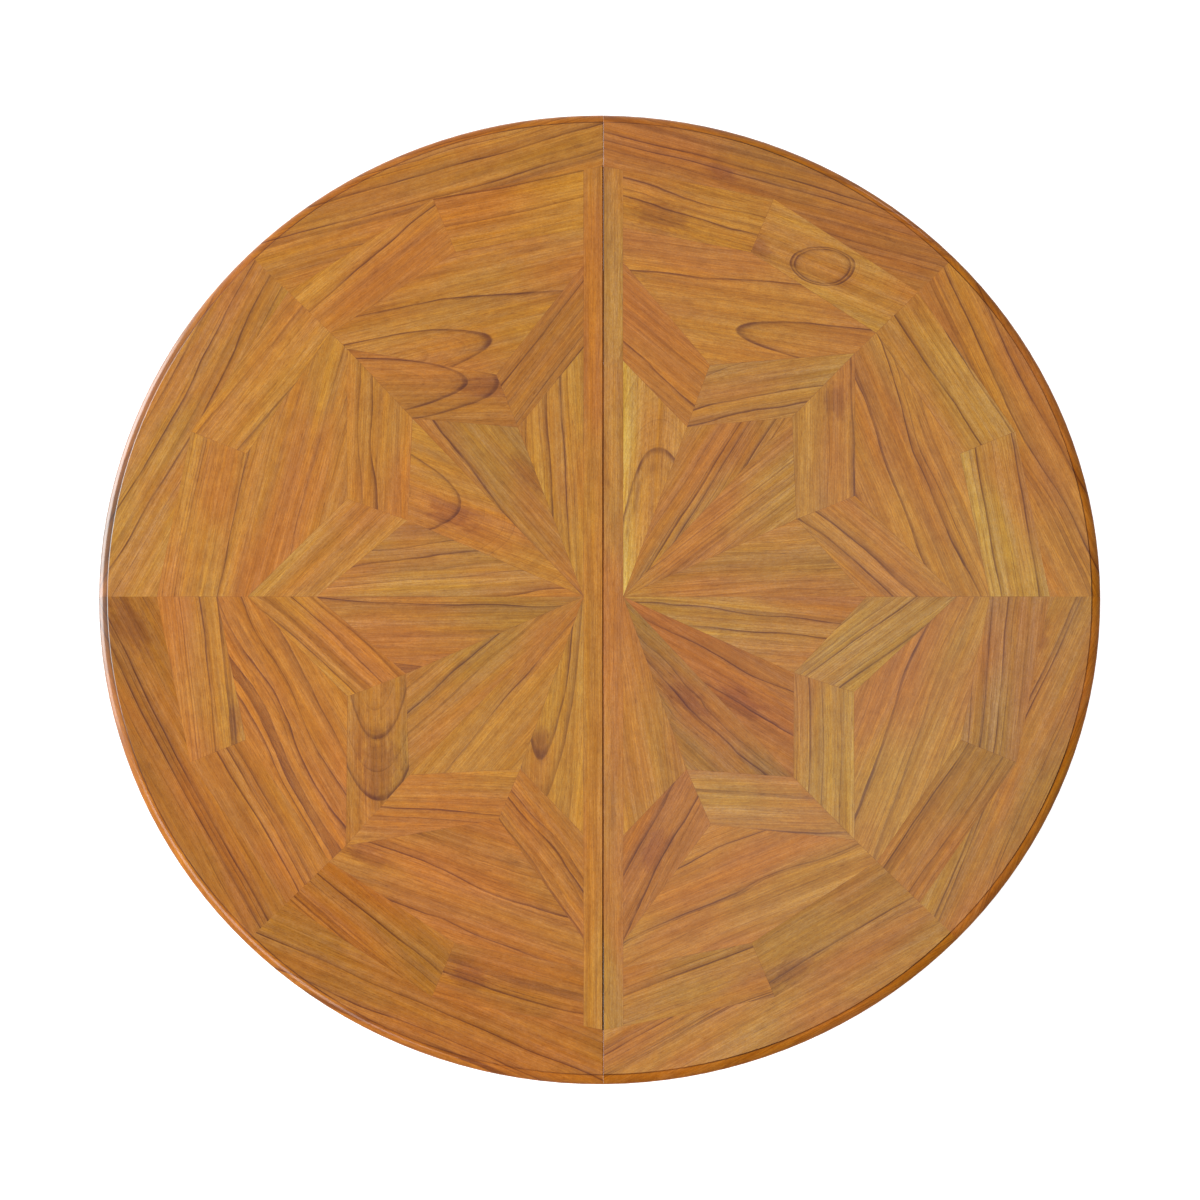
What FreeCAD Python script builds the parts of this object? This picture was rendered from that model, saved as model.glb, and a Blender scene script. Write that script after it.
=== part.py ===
# An extending round dining table. Its star-parquet top is cut along a seam, and the two halves
# slide apart over a turned pedestal with four sabre legs. X is the way the halves move, Y runs
# along the seam, and Z is up. The origin is on the floor, under the middle of the closed top.
import FreeCAD
import Part
import math
import os
import re
import Sketcher

# Every driving size, in millimetres
SIZES = {
    # The whole table
    "table_width": 1200,
    "table_height": 750,
    "opening": 450,
    "seam_shift": 4.5,
    "seam_gap": 0.6,
    # The top: its thickness, the rim moulding, and the rings and strips of the parquetry
    "top_thickness": 22,
    "face_thickness": 4,
    "rim_width": 10,
    "rim_step": 0.8,
    "rim_round": 5.2,
    "rim_band": 1.5,
    "rim_cove": 8,
    "rim_tuck": 8,
    "ring_width": 65,
    "board_width": 72,
    "star_margin": 38,
    "strip_width": 23.4,
    # The curved aprons, and the blocks that join them to the top
    "apron_setback": 85,
    "apron_thickness": 20,
    "apron_height": 80,
    "apron_bead": 5,
    "bead_height": 6,
    "block_length": 28,
    "block_width": 36,
    "block_height": 45,
    # The slides: fixed rails on the base, and runners under the halves on both sides of each rail
    "leaf_room": 9,
    "rail_width": 34,
    "rail_height": 66.7,
    "rail_spare": 20,
    "runner_width": 33,
    "runner_height": 44.7,
    "runner_gap": 1,
    "apron_clearance": 6,
    "slide_clearance": 0.3,
    # The racks and pinions
    "tooth_module": 2,
    "pinion_thickness": 10,
    "pinion_pin_radius": 3,
    "pinion_pin_length": 28,
    "running_clearance": 0.06,
    "tooth_clearance": 0.4,
    "rack_height": 8,
    "rack_depth": 18,
    "rack_inset": 4,
    "rack_spare": 20,
    # The latches under the seam, and the dowels that line the halves up
    "latch_margin": 50,
    "latch_arm": 34,
    "latch_thickness": 4,
    "latch_width": 14,
    "latch_handle": 22,
    "stud_radius": 3,
    "stud_head_radius": 5.5,
    "stud_head_thickness": 2,
    "stud_clearance": 0.6,
    "plate_thickness": 2,
    "plate_length": 30,
    "plate_width": 30,
    "dowel_radius": 4,
    "dowel_length": 30,
    "dowel_clearance": 0.35,
    "dowel_end_clearance": 1.4,
    "dowel_spacing": 250,
    # Wood screws
    "screw_head_radius": 4.5,
    "screw_head_height": 3.5,
    "screw_radius": 2.2,
    "runner_screw_length": 56,
    "base_screw_length": 60,
    "plate_screw_radius": 1.5,
    "plate_screw_length": 14,
    "plate_screw_head_radius": 3,
    "plate_screw_head_height": 1.5,
    "screw_clearance": 0.02,
    # The base: cross bearers, top plate, column, legs and glides
    "bearer_height": 40,
    "bearer_width": 50,
    "bearer_spare": 26,
    "bearer_margin": 40,
    "bearer_tip_height": 20,
    "bearer_taper": 28,
    "top_plate_length": 380,
    "top_plate_width": 280,
    "top_plate_height": 30,
    "top_plate_chamfer": 40,
    "plate_screw_margin": 28,
    "column_foot": 124,
    "drum_radius": 60,
    "drum_height": 130,
    "vase_radius": 76,
    "neck_radius": 36,
    "column_ring": 8,
    "capital_radius": 84,
    "capital_height": 32,
    "pendant_radius": 52,
    "pendant_height": 34,
    "tie_rod_radius": 6,
    "tie_rod_clearance": 1,
    "nut_width": 19,
    "nut_height": 10,
    "nut_room": 6,
    "flange_radius": 15,
    "flange_thickness": 2.5,
    "leg_setback": 170,
    "leg_thickness": 54,
    "leg_embed": 13,
    "leg_top": 246,
    "leg_round": 7,
    "leg_dowel_radius": 6,
    "leg_dowel_length": 60,
    "glide_radius": 14,
    "glide_height": 6,
    "glide_stem_radius": 3,
    "glide_stem_length": 16,
    "glide_inset": 26,
    # The folded leaf that is stored in the well between the rails
    "leaf_shift": 1,
    "leaf_side_clearance": 0.5,
    "leaf_fold_gap": 0.4,
    "felt_thickness": 3,
    "felt_length": 60,
    "hinge_length": 60,
    "hinge_width": 24,
    "hinge_plate": 2,
    "hinge_barrel_radius": 4,
    "hinge_pin_radius": 1.6,
    "hinge_offset": 150,
    "hinge_clearance": 0.3,
}
COUNTS = {
    "pinion_teeth": 12,
    "leaf_board_count": 5,
}

# Heights that several pieces share
UNDERSIDE = "(table_height - top_thickness)"
FACE_LEVEL = "(table_height - face_thickness)"
RAIL_TOP = f"({UNDERSIDE} - slide_clearance)"
RAIL_BOTTOM = f"({RAIL_TOP} - rail_height)"
PLATE_TOP = f"({RAIL_BOTTOM} - bearer_height)"
COLUMN_TOP = f"({PLATE_TOP} - top_plate_height)"
RUNNER_BOTTOM = f"({UNDERSIDE} - runner_height)"
RACK_TOP = f"({UNDERSIDE} - rack_depth)"
RACK_BOTTOM = f"({RACK_TOP} - rack_height)"
LATCH_TOP = f"({UNDERSIDE} - plate_thickness - slide_clearance)"
LATCH_BOTTOM = f"({LATCH_TOP} - latch_thickness)"
STUD_HEAD_TOP = f"({LATCH_BOTTOM} - slide_clearance)"
# Radii that follow the table's width
RING_RADIUS = "(table_width / 2 - ring_width)"
BOARD_RADIUS = f"({RING_RADIUS} - board_width)"
STAR_RADIUS = f"({BOARD_RADIUS} - star_margin)"
APRON_RADIUS = "(table_width / 2 - apron_setback)"
APRON_INSIDE = f"({APRON_RADIUS} - apron_thickness)"
LEG_REACH = "(table_width / 2 - leg_setback)"
LATCH_OFFSET = f"({APRON_INSIDE} - latch_margin)"
# How far each half slides, and places that the slides share. The rails lie beyond the stored leaf
TRAVEL = "(opening / 2)"
PITCH_RADIUS = "(pinion_teeth * tooth_module / 2)"
RUNNER_FACE = "(rail_width / 2 + runner_gap)"
RAIL_OFFSET = f"(table_width / 4 + leaf_room + runner_width + {RUNNER_FACE})"
OUTER_EDGE = f"({RAIL_OFFSET} + {RUNNER_FACE} + runner_width)"
RUNNER_REACH = f"sqrt(({APRON_INSIDE} - apron_clearance)^2 - {OUTER_EDGE}^2)"
RAIL_REACH = f"({RUNNER_REACH} + rail_spare)"
RACK_FRONT = f"({TRAVEL} + rack_spare)"
BEARER_REACH = f"({RAIL_OFFSET} + rail_width / 2 + bearer_spare)"
BEARER_OFFSET = "(top_plate_length / 2 - bearer_margin)"
LEAF_BACK = "(table_width / 4 - leaf_shift)"
SIDES = {"left": -1, "right": 1}
ENDS = {"front": -1, "back": 1}

# Shares that give tooth, star, leg and column their shapes.
# A pinion tooth: height above the pitch line and half width, as shares of the tooth module
TOOTH_SHARES = [(-1.1, 0.76), (-0.42, 0.819), (-0.05, 0.783), (0.47, 0.603), (1, 0.311)]
# A rack tooth the same way. It is cut thinner than its gap, so that the gears turn freely
RACK_TIP_SHARE = (0.65, 0.473)
RACK_ROOT_SHARE = (-1.15, 1.128)
# Corners of the star, as laid by hand: degrees from the long axis, and a share of the star radius
INNER_STAR_SHARES = {
    "left": [(64, 0.55), (44, 0.749), (22, 0.595), (0, 0.808), (-22, 0.6), (-43.5, 0.754), (-65, 0.554)],
    "right": [(64.5, 0.549), (44.5, 0.746), (22.5, 0.59), (0, 0.742), (-22.5, 0.581), (-44.5, 0.75),
              (-65, 0.555)],
}
OUTER_STAR_SHARES = {
    "left": [(65, 0.715), (45, 1.023), (21.5, 0.777), (0, 1.003), (-22, 0.777), (-45, 1.025), (-65.5, 0.711)],
    "right": [(66, 0.74), (45, 1.005), (22.5, 0.769), (0, 0.997), (-21.5, 0.759), (-45, 1), (-65.5, 0.728)],
}
# Where the star's outlines meet the seam strip, back and front, as shares of the star radius
INNER_END_SHARES = {"left": (0.727, -0.692), "right": (0.689, -0.695)}
OUTER_END_SHARES = {"left": (0.969, -0.995), "right": (0.978, -1.003)}
# A leg seen from its side: shares of its reach beyond its root, and of its top's height
LEG_BACK_SHARES = [(0, 1), (0.102, 0.985), (0.259, 0.86), (0.439, 0.6), (0.618, 0.37), (0.798, 0.235),
                   (0.921, 0.19), (0.985, 0.14), (1, 0)]
LEG_BELLY_SHARES = [(0.865, 0), (0.798, 0.095), (0.618, 0.19), (0.439, 0.34), (0.259, 0.48), (0.102, 0.53),
                    (0, 0.54)]
# Half round corners of the pendant: share of its radius, and share of its height
PENDANT_SHARES = [(0.3, 0), (0.62, 0.2), (0.88, 0.5), (1, 0.86)]
# Where a hinge's knuckles are, as shares of its length, for the upper and the lower leaf
KNUCKLE_SHARES = {"upper": ((-0.5, -0.17), (0.17, 0.5)), "lower": ((-0.16, 0.16),)}
NOTCH_SHARES = {"upper": ((-0.17, 0.17),), "lower": ((-0.5, -0.16), (0.16, 0.5))}
# How far out along each half its runner screws are, and how far across a plate its screws are
RUNNER_SCREW_SHARES = (0.2, 0.55, 0.9)
PLATE_SCREW_SHARE = 0.36
# The column's vase and neck: share of the height between drum and capital, and radius share
VASE_SHARES = [(0.1, 0.62), (0.16, 0.8), (0.27, 1), (0.4, 0.84), (0.52, 0.6), (0.6, 0.49)]
NECK_SHARES = [(0.68, 1), (0.78, 1.08), (0.88, 1.36), (0.95, 1.75)]

document = FreeCAD.newDocument("extending_dining_table")
sheet = document.addObject("Spreadsheet::Sheet", "Sizes")
for row, (alias, amount) in enumerate({**SIZES, **COUNTS}.items(), start=1):
    sheet.set(f"A{row}", alias)
    sheet.set(f"B{row}", str(amount))
    sheet.setAlias(f"B{row}", alias)
document.recompute()
nodes = {}


# Names of sizes in a formula, as the sheet's cells
def live(formula):
    named = {**SIZES, **COUNTS}
    return re.sub(r"[a-z_]{4,}", lambda word: ("Sizes." if word.group() in named else "") + word.group(),
                  str(formula))


# What a formula comes to with the sizes as they are
def worth(formula):
    return float(sheet.evalExpression(live(formula)))


def bind(thing, **formulas):
    paths = {"x": "Placement.Base.x", "y": "Placement.Base.y", "z": "Placement.Base.z"}
    for name, formula in formulas.items():
        thing.setExpression(paths.get(name, name), live(formula))
    return thing


def node(label, thing):
    thing.Label = label
    nodes[label] = thing
    return thing


# A pair of limits on the seam's left (-1) or right (1), or at the table's front (-1) or back (1)
def mirrored(side, near, far, middle="0"):
    if side > 0:
        return f"{middle} + ({near})", f"{middle} + ({far})"
    return f"{middle} - ({far})", f"{middle} - ({near})"


def block(name, along_x, along_y, along_z):
    box = document.addObject("Part::Box", name)
    bind(box, x=along_x[0], y=along_y[0], z=along_z[0])
    for edge, (low, high) in zip(("Length", "Width", "Height"), (along_x, along_y, along_z)):
        bind(box, **{edge: f"({high}) - ({low})"})
    return box


def rod(name, radius, height, x, y, z, turn=None):
    cylinder = document.addObject("Part::Cylinder", name)
    if turn is not None:
        cylinder.Placement = FreeCAD.Placement(FreeCAD.Vector(), turn)
    return bind(cylinder, Radius=radius, Height=height, x=x, y=y, z=z)


def cone(name, low_radius, high_radius, height, x, y, z):
    frustum = document.addObject("Part::Cone", name)
    return bind(frustum, Radius1=low_radius, Radius2=high_radius, Height=height, x=x, y=y, z=z)


def fused(name, parts):
    union = document.addObject("Part::MultiFuse", name)
    union.Shapes = parts
    return union


def group(name, parts):
    compound = document.addObject("Part::Compound", name)
    compound.Links = parts
    return compound


def cut(name, base, tool):
    result = document.addObject("Part::Cut", name)
    result.Base = base
    result.Tool = tool
    return result


def common(name, base, tool):
    result = document.addObject("Part::Common", name)
    result.Base = base
    result.Tool = tool
    return result


# A countersunk wood screw that points up from its head, grown by a clearance where it is a hole
def screw(name, kind, length, x, y, z, grow="0"):
    prefix = "plate_screw" if kind == "small" else "screw"
    head = cone(name + "_head", f"{prefix}_head_radius + {grow}", f"{prefix}_radius + {grow}",
                f"{prefix}_head_height", x, y, z)
    shank = rod(name + "_shank", f"{prefix}_radius + {grow}", length, x, y, z)
    return fused(name, [head, shank])


# Screws at several places, and the holes that they fill
def screws(name, kind, length, places, z):
    solids = [screw(f"{name}_{k}", kind, length, x, y, z) for k, (x, y) in enumerate(places)]
    holes = [screw(f"{name}_hole_{k}", kind, length, x, y, z, "screw_clearance")
             for k, (x, y) in enumerate(places)]
    return group(name, solids), group(name + "_holes", holes)


def own_plane(body, role):
    return next(plane for plane in body.Origin.OriginFeatures if plane.Role == role)


def new_sketch(body, name, role):
    sketch = body.newObject("Sketcher::SketchObject", name)
    sketch.AttachmentSupport = [(own_plane(body, role), "")]
    sketch.MapMode = "FlatFace"
    return sketch


# A closed outline of straight lines whose corners are held by formulas
def outline(body, name, role, corners):
    sketch = new_sketch(body, name, role)
    places = [FreeCAD.Vector(worth(u), worth(v), 0) for u, v in corners]
    count = len(places)
    for k in range(count):
        sketch.addGeometry(Part.LineSegment(places[k], places[(k + 1) % count]), False)
    for k in range(count):
        sketch.addConstraint(Sketcher.Constraint("Coincident", k, 2, (k + 1) % count, 1))
    for k, corner in enumerate(corners):
        for kind, formula in zip(("DistanceX", "DistanceY"), corner):
            held = sketch.addConstraint(Sketcher.Constraint(kind, -1, 1, k, 1, worth(formula)))
            sketch.setExpression(f"Constraints[{held}]", live(formula))
    return sketch


# Circles about the sketch's origin
def rings(body, name, role, radii):
    sketch = new_sketch(body, name, role)
    for radius in radii:
        circle = Part.Circle(FreeCAD.Vector(), FreeCAD.Vector(0, 0, 1), worth(radius))
        index = sketch.addGeometry(circle, False)
        sketch.addConstraint(Sketcher.Constraint("Coincident", index, 3, -1, 1))
        held = sketch.addConstraint(Sketcher.Constraint("Radius", index, worth(radius)))
        sketch.setExpression(f"Constraints[{held}]", live(radius))
    return sketch


def pad(body, sketch, length, backwards=False):
    feature = body.newObject("PartDesign::Pad", sketch.Name + "_pad")
    feature.Profile = sketch
    feature.Reversed = backwards
    bind(feature, Length=length)
    sketch.Visibility = False
    return feature


def padded_body(name, role, corners, length, x="0", y="0", z="0"):
    body = document.addObject("PartDesign::Body", name)
    pad(body, outline(body, name + "_outline", role, corners), length)
    return bind(body, x=x, y=y, z=z)


# A shape that has no plain solid or sketch of its own form
def shaped(label, shape):
    feature = document.addObject("Part::Feature", label)
    feature.Shape = shape
    return node(label, feature)


# Plan geometry of the parquetry. Places are measured outwards from the seam and along it
def spot(side, outward, along, level=0):
    return FreeCAD.Vector(worth("seam_shift") + side * outward, along, level)


def round_spot(side, degrees, radius):
    angle = math.radians(degrees)
    return radius * math.cos(angle), radius * math.sin(angle)


def plan_face(side, places, level):
    corners = [spot(side, outward, along, level) for outward, along in places]
    return Part.Face(Part.makePolygon(corners + corners[:1]))


# The part of the plan between two directions, beyond a line beside the seam
def sector(side, start, stop, beyond, level):
    far = 2 * worth("table_width")
    wedge = plan_face(side, [(0, 0), round_spot(side, start, far), round_spot(side, stop, far)], level)
    strip = plan_face(side, [(beyond, -far), (far, -far), (far, far), (beyond, far)], level)
    return wedge.common(strip)


# A sixteen-sided ring's outline, and the same without its inner one
def ring_face(side, radius, level):
    step = 360 / 16
    return plan_face(side, [round_spot(side, k * step, radius) for k in range(16)], level)


def slabs(faces, thickness):
    up = FreeCAD.Vector(0, 0, thickness)
    solids = [solid for face in faces for part in face.Faces for solid in part.extrude(up).Solids]
    return Part.makeCompound(solids)


def star_corners(side_name, shares, end_shares):
    radius = worth(STAR_RADIUS)
    edge = worth("strip_width + seam_gap / 2")
    side = SIDES[side_name]
    corners = [round_spot(side, degrees, share * radius) for degrees, share in shares[side_name]]
    back, front = end_shares[side_name]
    return [(edge, back * radius)] + corners + [(edge, front * radius)]


# The top's section beyond a radius: step, rounded edge, narrow band, cove and underside
def rim_section(radius, level):
    field = radius - worth("rim_width")
    step = level - worth("rim_step")
    band = step - worth("rim_round")
    cove = band - worth("rim_band")
    tuck = radius - worth("rim_tuck")
    foot = cove - worth("rim_cove")
    bottom = level - worth("top_thickness")
    bulge = math.cos(math.radians(45))

    def at(out, up):
        return FreeCAD.Vector(out, 0, up)

    round_middle = at(field + (radius - field) * bulge, band + (step - band) * bulge)
    cove_middle = at(radius - (radius - tuck) * bulge, foot + (cove - foot) * bulge)
    cove_arc = Part.Arc(at(radius, cove), cove_middle, at(tuck, foot))
    return [
        Part.LineSegment(at(field, level), at(field, step)).toShape(),
        Part.Arc(at(field, step), round_middle, at(radius, band)).toShape(),
        Part.LineSegment(at(radius, band), at(radius, cove)).toShape(),
        cove_arc.toShape(),
        Part.LineSegment(at(tuck, foot), at(tuck, bottom)).toShape(),
    ]


# A round blank of the whole top with its rim moulded, from which the ring's segments are cut
def top_blank():
    level = worth("table_height")
    bottom = worth(UNDERSIDE)
    section = rim_section(worth("table_width / 2"), level)
    outer_top = section[0].Vertexes[0].Point
    outer_bottom = section[-1].Vertexes[-1].Point
    centre_top = FreeCAD.Vector(0, 0, level)
    centre_bottom = FreeCAD.Vector(0, 0, bottom)
    closing = [
        Part.LineSegment(centre_top, outer_top).toShape(),
        Part.LineSegment(outer_bottom, centre_bottom).toShape(),
        Part.LineSegment(centre_bottom, centre_top).toShape(),
    ]
    wire = Part.Wire(Part.__sortEdges__(section + closing))
    return Part.Face(wire).revolve(FreeCAD.Vector(), FreeCAD.Vector(0, 0, 1), 360)


# One half's parquetry and solid ring
def lay_parquetry(name, blank):
    side = SIDES[name]
    level = worth(FACE_LEVEL)
    thickness = worth("face_thickness")
    seam_face = worth("seam_gap / 2")
    strip_edge = worth("strip_width + seam_gap / 2")
    centre = (strip_edge, 0)
    inner = star_corners(name, INNER_STAR_SHARES, INNER_END_SHARES)
    outer = star_corners(name, OUTER_STAR_SHARES, OUTER_END_SHARES)
    inner_ring = ring_face(side, worth(BOARD_RADIUS), level)
    outer_ring = ring_face(side, worth(RING_RADIUS), level)
    pairs = range(len(inner) - 1)
    eighths = (90, 45, 0, -45)
    sixteenths = [90 - 22.5 * k for k in range(8)]

    points = [plan_face(side, [centre, inner[k], inner[k + 1]], level) for k in pairs]
    shaped(name + "_star_points", slabs(points, thickness))

    band = [plan_face(side, [inner[k], inner[k + 1], outer[k + 1], outer[k]], level) for k in pairs]
    shaped(name + "_star_band", slabs(band, thickness))

    star = plan_face(side, outer, level)
    field = [inner_ring.common(sector(side, start, start - 45, strip_edge, level)).cut(star)
             for start in eighths]
    shaped(name + "_star_surround", slabs(field, thickness))

    belt = outer_ring.cut(inner_ring)
    boards = [belt.common(sector(side, start, start - 22.5, strip_edge, level)) for start in sixteenths]
    shaped(name + "_mid_ring", slabs(boards, thickness))

    reach = worth(RING_RADIUS)
    strip_plan = plan_face(side, [(seam_face, -reach), (strip_edge, -reach), (strip_edge, reach),
                                  (seam_face, reach)], level)
    shaped(name + "_seam_strip", slabs([strip_plan.common(outer_ring)], thickness))

    bottom = worth(UNDERSIDE)
    deep = worth("top_thickness")
    hole = slabs([ring_face(side, worth(RING_RADIUS), bottom)], deep)
    segments = [blank.common(slabs([sector(side, start, start - 45, seam_face, bottom)], deep)).cut(hole)
                for start in eighths]
    shaped(name + "_outer_ring", Part.makeCompound([solid for part in segments for solid in part.Solids]))


blank = top_blank()
for half in SIDES:
    lay_parquetry(half, blank)

# Screw places under each half, as distances outwards from the table's middle
RUNNER_PLACES = {"left": f"({RAIL_OFFSET} - {RUNNER_FACE} - runner_width / 2)",
                 "right": f"({RAIL_OFFSET} + {RUNNER_FACE} + runner_width / 2)"}
runner_holes = {}
for half, side in SIDES.items():
    places = [(f"{side} * {share} * {RUNNER_REACH}", f"{end} * {RUNNER_PLACES[half]}")
              for end in ENDS.values() for share in RUNNER_SCREW_SHARES]
    solids, holes = screws(half + "_runner_screws_set", "large", "runner_screw_length", places, RUNNER_BOTTOM)
    node(half + "_runner_screws", solids)
    runner_holes[half] = holes

# Screws of the latch plates on the left half, and of the keeper plates on the right one
PLATE_MIDDLE = "(latch_arm / 2)"
plate_holes = {}
for half, side in SIDES.items():
    places = [(f"seam_shift + {side} * {PLATE_MIDDLE} + {u} * {PLATE_SCREW_SHARE} * plate_length",
               f"{end} * {LATCH_OFFSET} + {u} * {PLATE_SCREW_SHARE} * plate_width")
              for end in ENDS.values() for u in (-1, 1)]
    label = "latch" if side < 0 else "keeper"
    solids, holes = screws(label + "_screws_set", "small", "plate_screw_length", places,
                           f"{UNDERSIDE} - plate_thickness")
    node(label + "_screws", solids)
    plate_holes[half] = holes

# The dowels stand out of the right half's seam face and enter holes in the left one
DOWEL_SHARES = (-1, 0, 1)
TO_RIGHT = FreeCAD.Rotation(FreeCAD.Vector(0, 1, 0), 90)
CORE_MIDDLE = f"({UNDERSIDE} + (top_thickness - face_thickness) / 2)"


def dowel_rods(name, grow, length, start):
    return [rod(f"{name}_{k}", f"dowel_radius + {grow}", length, start, f"{share} * dowel_spacing",
                CORE_MIDDLE, TO_RIGHT) for k, share in enumerate(DOWEL_SHARES)]


node("alignment_dowels", group("alignment_dowels_set", dowel_rods(
    "alignment_dowel", "0", "dowel_length", "seam_shift - dowel_length / 2")))
dowel_sockets = {
    "left": dowel_rods("left_socket", "dowel_clearance", "dowel_length / 2 + dowel_end_clearance",
                       "seam_shift - dowel_length / 2 - dowel_end_clearance"),
    "right": dowel_rods("right_socket", "screw_clearance", "dowel_length / 2", "seam_shift"),
}

# The core panels: half of a sixteen-sided board each, drilled for dowels and screws
CORNER_DEGREES = [90 - 22.5 * k for k in range(1, 8)]
for half, side in SIDES.items():
    tip = f"({RING_RADIUS} - seam_gap / 2 * tan(11.25))"
    corners = [(f"{side} * seam_gap / 2", tip)]
    corners += [(f"{side} * {RING_RADIUS} * cos({angle})", f"{RING_RADIUS} * sin({angle})")
                for angle in CORNER_DEGREES]
    corners += [(f"{side} * seam_gap / 2", f"-{tip}")]
    board = padded_body(half + "_core_blank", "XY_Plane", corners, "top_thickness - face_thickness",
                        x="seam_shift", z=UNDERSIDE)
    drilled = group(half + "_core_holes", dowel_sockets[half] + [plate_holes[half], runner_holes[half]])
    node(half + "_core_panel", cut(half + "_core", board, drilled))

# The curved aprons with a bead along their lower edge, and the glue blocks behind them
APRON_BOTTOM = f"({UNDERSIDE} - apron_height)"
BLOCK_DEGREES = (70, 40, 0, -40, -70)
for half, side in SIDES.items():
    shell = cut(half + "_apron_shell",
                rod(half + "_apron_outside", APRON_RADIUS, "apron_height", "0", "0", APRON_BOTTOM),
                rod(half + "_apron_inside", APRON_INSIDE, "apron_height", "0", "0", APRON_BOTTOM))
    bead = document.addObject("Part::Torus", half + "_apron_bead")
    bind(bead, Radius1=APRON_RADIUS, Radius2="apron_bead", z=f"{APRON_BOTTOM} + bead_height")
    keep = block(half + "_apron_limits", mirrored(side, "seam_gap / 2", "table_width", "seam_shift"),
                 ("-table_width", "table_width"), (APRON_BOTTOM, UNDERSIDE))
    node(half + "_apron", common(half + "_apron_half", fused(half + "_apron_ring", [shell, bead]), keep))
    bars = []
    for angle in BLOCK_DEGREES:
        heading = 180 - angle if side < 0 else angle
        bar = document.addObject("Part::Box", f"{half}_block_{len(bars)}")
        bar.Placement = FreeCAD.Placement(FreeCAD.Vector(), FreeCAD.Rotation(heading, 0, 0))
        inner = f"({APRON_INSIDE} - block_length)"
        bind(bar, Length="block_length + apron_thickness / 2", Width="block_width", Height="block_height",
             x=f"{inner} * cos({heading}) + block_width / 2 * sin({heading})",
             y=f"{inner} * sin({heading}) - block_width / 2 * cos({heading})",
             z=f"{UNDERSIDE} - block_height")
        bars.append(bar)
    inside = rod(half + "_block_limits", APRON_INSIDE, "apron_height", "0", "0", APRON_BOTTOM)
    node(half + "_glue_blocks", common(half + "_blocks", group(half + "_bars", bars), inside))

# The runners, each with a groove for its rack on the side that faces the rail. The left half
# carries the inner pair and the right half the outer pair. All end inside the aprons
runner_limits = rod("runner_limits", f"{APRON_INSIDE} - apron_clearance / 2", "apron_height", "0", "0",
                    APRON_BOTTOM)
for half, side in SIDES.items():
    for end_name, end in ENDS.items():
        label = f"{half}_runner_{end_name}"
        away = side * end
        corners = [(f"{away} * {u}", v) for u, v in (
            ("0", "0"), ("runner_width", "0"), ("runner_width", "runner_height"), ("0", "runner_height"),
            ("0", "runner_height - rack_depth"), ("rack_inset", "runner_height - rack_depth"),
            ("rack_inset", "runner_height - rack_depth - rack_height"),
            ("0", "runner_height - rack_depth - rack_height"))]
        low = f"-{RACK_FRONT}" if side > 0 else f"-{RUNNER_REACH}"
        body = padded_body(label + "_blank", "YZ_Plane", corners, f"{RUNNER_REACH} + {RACK_FRONT}", x=low,
                           y=f"{end} * {RAIL_OFFSET} + {away} * {RUNNER_FACE}", z=RUNNER_BOTTOM)
        drilled = cut(label + "_drilled", body, runner_holes[half])
        node(label, common(label + "_trimmed", drilled, runner_limits))

# The racks: a bar let into each runner, with teeth towards the pinion
TOOTH_PITCH = f"(tooth_module * {math.pi:.6f})"
RACK_TOOTH_COUNT = f"(floor(({TRAVEL} + 2 * rack_spare - tooth_module) / {TOOTH_PITCH}) - 1)"
for half, side in SIDES.items():
    bars = []
    for end_name, end in ENDS.items():
        label = f"{half}_rack_{end_name}"
        away = side * end
        root = f"({PITCH_RADIUS} - {RACK_ROOT_SHARE[0]} * tooth_module)"
        tip = f"({PITCH_RADIUS} - {RACK_TIP_SHARE[0]} * tooth_module)"
        back = f"({RUNNER_FACE} + rack_inset)"
        ahead, behind = f"{-side} * {RACK_FRONT}", f"{side} * rack_spare"
        body = document.addObject("PartDesign::Body", label)
        bar = outline(body, label + "_bar", "XY_Plane", [
            (behind, f"{away} * {root}"), (ahead, f"{away} * {root}"),
            (ahead, f"{away} * {back}"), (behind, f"{away} * {back}")])
        pad(body, bar, "rack_height")
        first = f"({-side} * (floor(-(rack_spare - tooth_module) / {TOOTH_PITCH}) + 1.5) * {TOOTH_PITCH})"
        sunk = f"({root} + tooth_clearance)"
        tooth = outline(body, label + "_tooth", "XY_Plane", [
            (f"{first} - {RACK_ROOT_SHARE[1]} * tooth_module", f"{away} * {sunk}"),
            (f"{first} - {RACK_ROOT_SHARE[1]} * tooth_module", f"{away} * {root}"),
            (f"{first} - {RACK_TIP_SHARE[1]} * tooth_module", f"{away} * {tip}"),
            (f"{first} + {RACK_TIP_SHARE[1]} * tooth_module", f"{away} * {tip}"),
            (f"{first} + {RACK_ROOT_SHARE[1]} * tooth_module", f"{away} * {root}"),
            (f"{first} + {RACK_ROOT_SHARE[1]} * tooth_module", f"{away} * {sunk}")])
        tooth_pad = pad(body, tooth, "rack_height")
        document.recompute()
        row = body.newObject("PartDesign::LinearPattern", label + "_teeth")
        row.Originals = [tooth_pad]
        row.Direction = (tooth, ["H_Axis"])
        row.Reversed = side > 0
        bind(row, Length=f"({RACK_TOOTH_COUNT} - 1) * {TOOTH_PITCH}", Occurrences=RACK_TOOTH_COUNT)
        body.Tip = row
        bind(body, y=f"{end} * {RAIL_OFFSET}", z=RACK_BOTTOM)
        bars.append(common(label + "_trimmed", body, runner_limits))
    node(half + "_racks", group(half + "_rack_pair", bars))

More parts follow.
